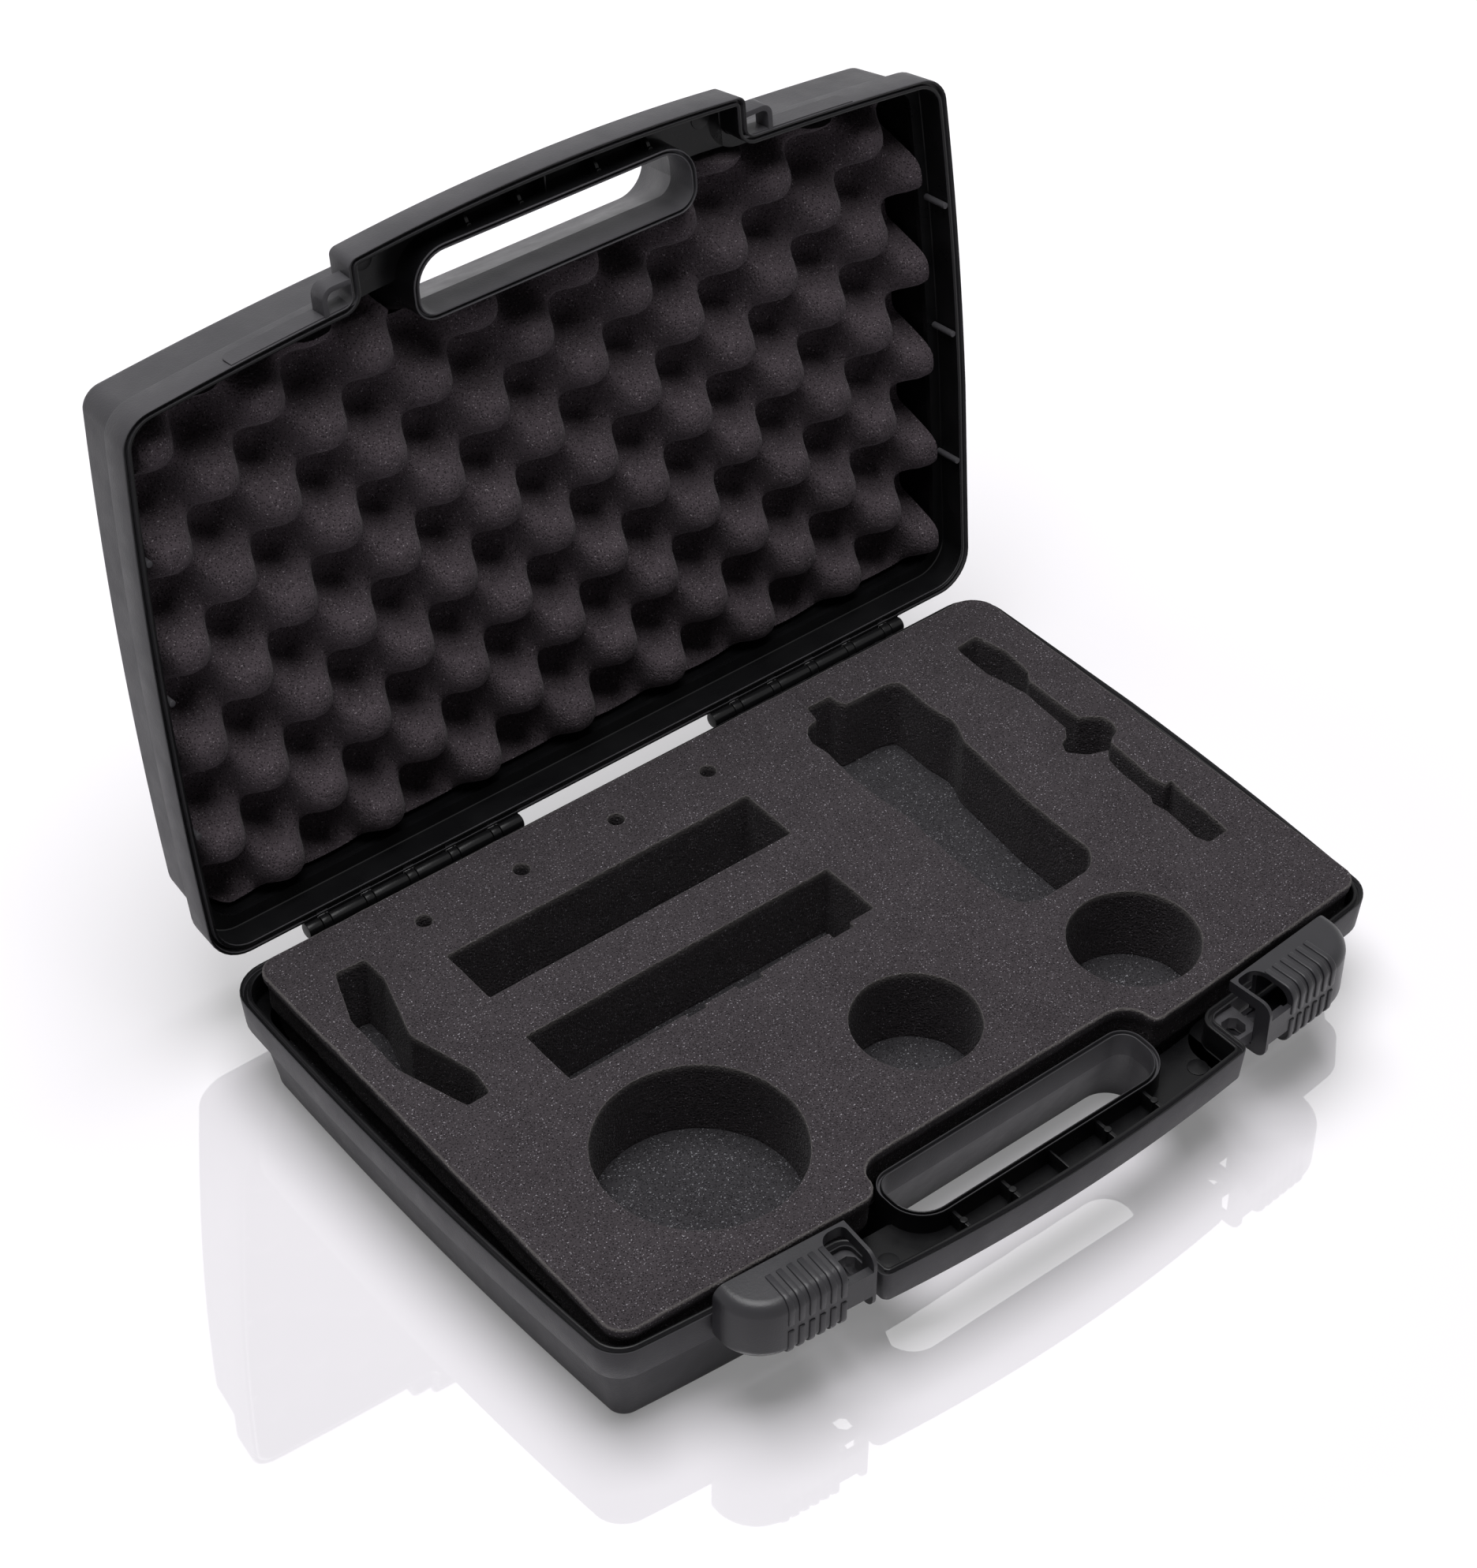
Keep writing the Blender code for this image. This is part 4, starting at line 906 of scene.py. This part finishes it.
def latch_matrix(side, shift):
    """From (u, w, z) of a latch to the case: along the bowed front, a little off it."""
    middle = LATCH["mid_x"]
    turn = math.atan(2 * FRONT_BOW * middle / HALF_X ** 2)
    wall = -HALF_Y + FRONT_BOW * (middle / HALF_X) ** 2
    out = Vector((side * math.cos(turn), math.sin(turn), 0))
    spot = Vector((side * middle, wall - 0.4, LATCH["mid_z"])) + out * shift
    axes = Matrix.Diagonal((side, -1, 1, 1))
    axes.translation.x = -side * LATCH["length"] / 2
    return Matrix.Translation(spot) @ Matrix.Rotation(side * turn, 4, "Z") @ axes


def latch_ring(inset, z, low_u=0.0, back=0.0):
    length, deep = LATCH["length"] - inset, LATCH["deep"] - inset
    corners = ((low_u, back), (length, back), (length, deep), (low_u, deep))
    points = outline(corners, (0, 0, LATCH["dome"] - inset, 0), 16)
    return [Vector((u, w, z)) for u, w in points]


def latch_solid(bm, grow, low_u=0.0, back=0.0):
    """The cap with round upper and lower edges."""
    half, r, steps = LATCH["half"] + grow, LATCH["round"], 8
    rings = []
    for end in (-1, 1):
        part = []
        for i in range(steps + 1):
            a = math.pi / 2 * i / steps
            inset, z = r * (1 - math.sin(a)) - grow, end * (half - r * (1 - math.cos(a)))
            part.append(latch_ring(inset, z, low_u, back))
        rings += part if end == -1 else list(reversed(part))
    sweep(bm, rings, caps=True)


# %% Grips that lie over the edge
def grip_path(grow, low, high, back):
    """Points (w, z) down the front of the cap and over its round edge."""
    half, deep, r = LATCH["half"] + grow, LATCH["deep"] + grow, LATCH["round"]
    points = [(deep, low)]
    for i in range(9):
        a = math.pi / 2 * i / 8
        points.append((deep - r * (1 - math.cos(a)), half - r * (1 - math.sin(a))))
    return points + [(back, high + grow)]


def add_grips(bm, sign):
    """Six raised bars with round ends, over the upper (1) or lower (-1) edge."""
    low, back = (1.5, 5.0) if sign == 1 else (0.9, 4.0)
    outer = grip_path(0.55, low, LATCH["half"], back)
    inner = grip_path(-0.6, low, LATCH["half"], back)
    loop = outer + list(reversed(inner))
    for count in range(6):
        start = LATCH["flange"] + 3.95 * count
        verts = [bm.verts.new((start, w, sign * z)) for w, z in loop]
        face = bm.faces.new(verts)
        made = bmesh.ops.extrude_face_region(bm, geom=[face])["geom"]
        top = [v for v in made if isinstance(v, bmesh.types.BMVert)]
        bmesh.ops.translate(bm, vec=(2.2, 0, 0), verts=top)
        sharp = [e for e in edges_of(verts + top) if e.calc_face_angle(0) > 0.8]
        bmesh.ops.bevel(
            bm, geom=sharp, offset=0.42, offset_type="OFFSET", affect="EDGES", segments=3, profile=0.5,
            material=-1, clamp_overlap=True)


# %% Make both latches
def make_latch(word, side, shift):
    matrix = latch_matrix(side, shift)
    start = LATCH["flange"]
    bm = bmesh.new()
    latch_solid(bm, 0)
    cap = raw_object(word + "_latch_cap", bm)
    bm = bmesh.new()
    latch_solid(bm, -2.0, start - 2.0, 1.6)
    carve(cap, raw_object("hollow", bm))
    bm = bmesh.new()
    corners = ((1.3, 1.3), (start, 1.3), (start, 20), (1.3, 20))
    plate(bm, outline(corners, (2.4, 5, 0, 0), 10), -14, 14)
    window = raw_object("window", bm)
    bm = bmesh.new()
    box(bm, (0.6, 15.0, -5.5), (start + 0.7, 22, 5.5))
    carve(window, raw_object("bar", bm))
    carve(cap, window)
    bm = bmesh.new()
    box(bm, (-1.3, -1.3, -9.0), (start + 1.3, 11.8, 7.5))
    carve(cap, raw_object("loop_way", bm))
    bm = bmesh.new()
    box(bm, (start, -2, -6.7), (36.8, 2.0, -2.9))
    carve(cap, raw_object("rail_way", bm))
    bevel = cap.modifiers.new("soft edges", "BEVEL")
    bevel.width = 0.35 * MM
    bevel.segments = 2
    bevel.limit_method = "ANGLE"
    bevel.angle_limit = math.radians(40)
    move_mesh(cap, matrix)
    finish(cap, word + "_latch", latch_black, word + "_latch")
    bm = bmesh.new()
    add_grips(bm, 1)
    add_grips(bm, -1)
    finish(raw_object(word + "_latch_grips", bm, matrix), word + "_latch", latch_black)


make_latch("left", -1, 0.0)
make_latch("right", 1, 4.5)

# %% [markdown]
# ## Floor, light and background
# The case stands on a glossy white board: it mirrors faintly in it and throws a soft shadow.
# White shows all round it, so floor and world are lifted to white for the camera and for
# mirrored rays only, while the light itself is a large soft lamp overhead and a little fill.
# The lift of the floor grows with the distance, so that the shadow near the case stays.

# %% Rays that see the white background
def white_rays(nodes, links):
    """1 for rays from the camera, from a mirror or through glass, and 0 for the light itself."""
    path = nodes.new("ShaderNodeLightPath")
    value = path.outputs["Is Camera Ray"]
    for name in ("Is Glossy Ray", "Is Transmission Ray"):
        node = nodes.new("ShaderNodeMath")
        node.operation = "MAXIMUM"
        links.new(value, node.inputs[0])
        links.new(path.outputs[name], node.inputs[1])
        value = node.outputs[0]
    return value


def map_range(nodes, links, value, low, high):
    """Map a value from one (start, end) to another."""
    node = nodes.new("ShaderNodeMapRange")
    for name, number in zip(("From Min", "From Max", "To Min", "To Max"), (*low, *high)):
        node.inputs[name].default_value = number
    links.new(value, node.inputs["Value"])
    return node.outputs["Result"]


# %% Floor
floor_mesh = bpy.data.meshes.new("floor")
bm = bmesh.new()
bmesh.ops.create_grid(bm, x_segments=1, y_segments=1, size=8)
bm.to_mesh(floor_mesh)
bm.free()
floor = bpy.data.objects.new("floor", floor_mesh)
bpy.context.scene.collection.objects.link(floor)
board, nodes, links, shader, place = new_material("white_board")
shader.inputs["Base Color"].default_value = (0.76, 0.735, 0.78, 1)
shader.inputs["Roughness"].default_value = 0.02
shader.inputs["IOR"].default_value = 2.6
far = nodes.new("ShaderNodeVectorMath")
far.operation = "LENGTH"
links.new(place, far.inputs[0])
lift = nodes.new("ShaderNodeMath")
lift.operation = "MULTIPLY"
links.new(map_range(nodes, links, far.outputs["Value"], (0.25, 0.8), (0.2, 0.5)), lift.inputs[0])
links.new(white_rays(nodes, links), lift.inputs[1])
shader.inputs["Emission Color"].default_value = (1, 1, 1, 1)
links.new(lift.outputs[0], shader.inputs["Emission Strength"])
floor_mesh.materials.append(board)

# %% World
world = bpy.data.worlds.new("white_room")
bpy.context.scene.world = world
world.use_nodes = True
nodes, links = world.node_tree.nodes, world.node_tree.links
sky = nodes["Background"]
mix = nodes.new("ShaderNodeMix")
mix.data_type = "FLOAT"
mix.inputs["A"].default_value = 0.06
mix.inputs["B"].default_value = 1.0
links.new(white_rays(nodes, links), mix.inputs["Factor"])
links.new(mix.outputs["Result"], sky.inputs["Strength"])
sky.inputs["Color"].default_value = (1, 1, 1, 1)

# %% Lamps
def soft_lamp(name, where, aim, size, power):
    data = bpy.data.lights.new(name, "AREA")
    data.shape = "RECTANGLE"
    data.size, data.size_y = size
    data.energy = power
    lamp = bpy.data.objects.new(name, data)
    lamp.location = where
    lamp.rotation_euler = (Vector(aim) - Vector(where)).to_track_quat("-Z", "Y").to_euler()
    bpy.context.scene.collection.objects.link(lamp)


soft_lamp("overhead", (-0.1, 0.05, 1.5), (0, 0, 0.05), (1.1, 0.9), 26)
bpy.context.scene.view_settings.view_transform = "Standard"
print("pieces", len(made_pieces))
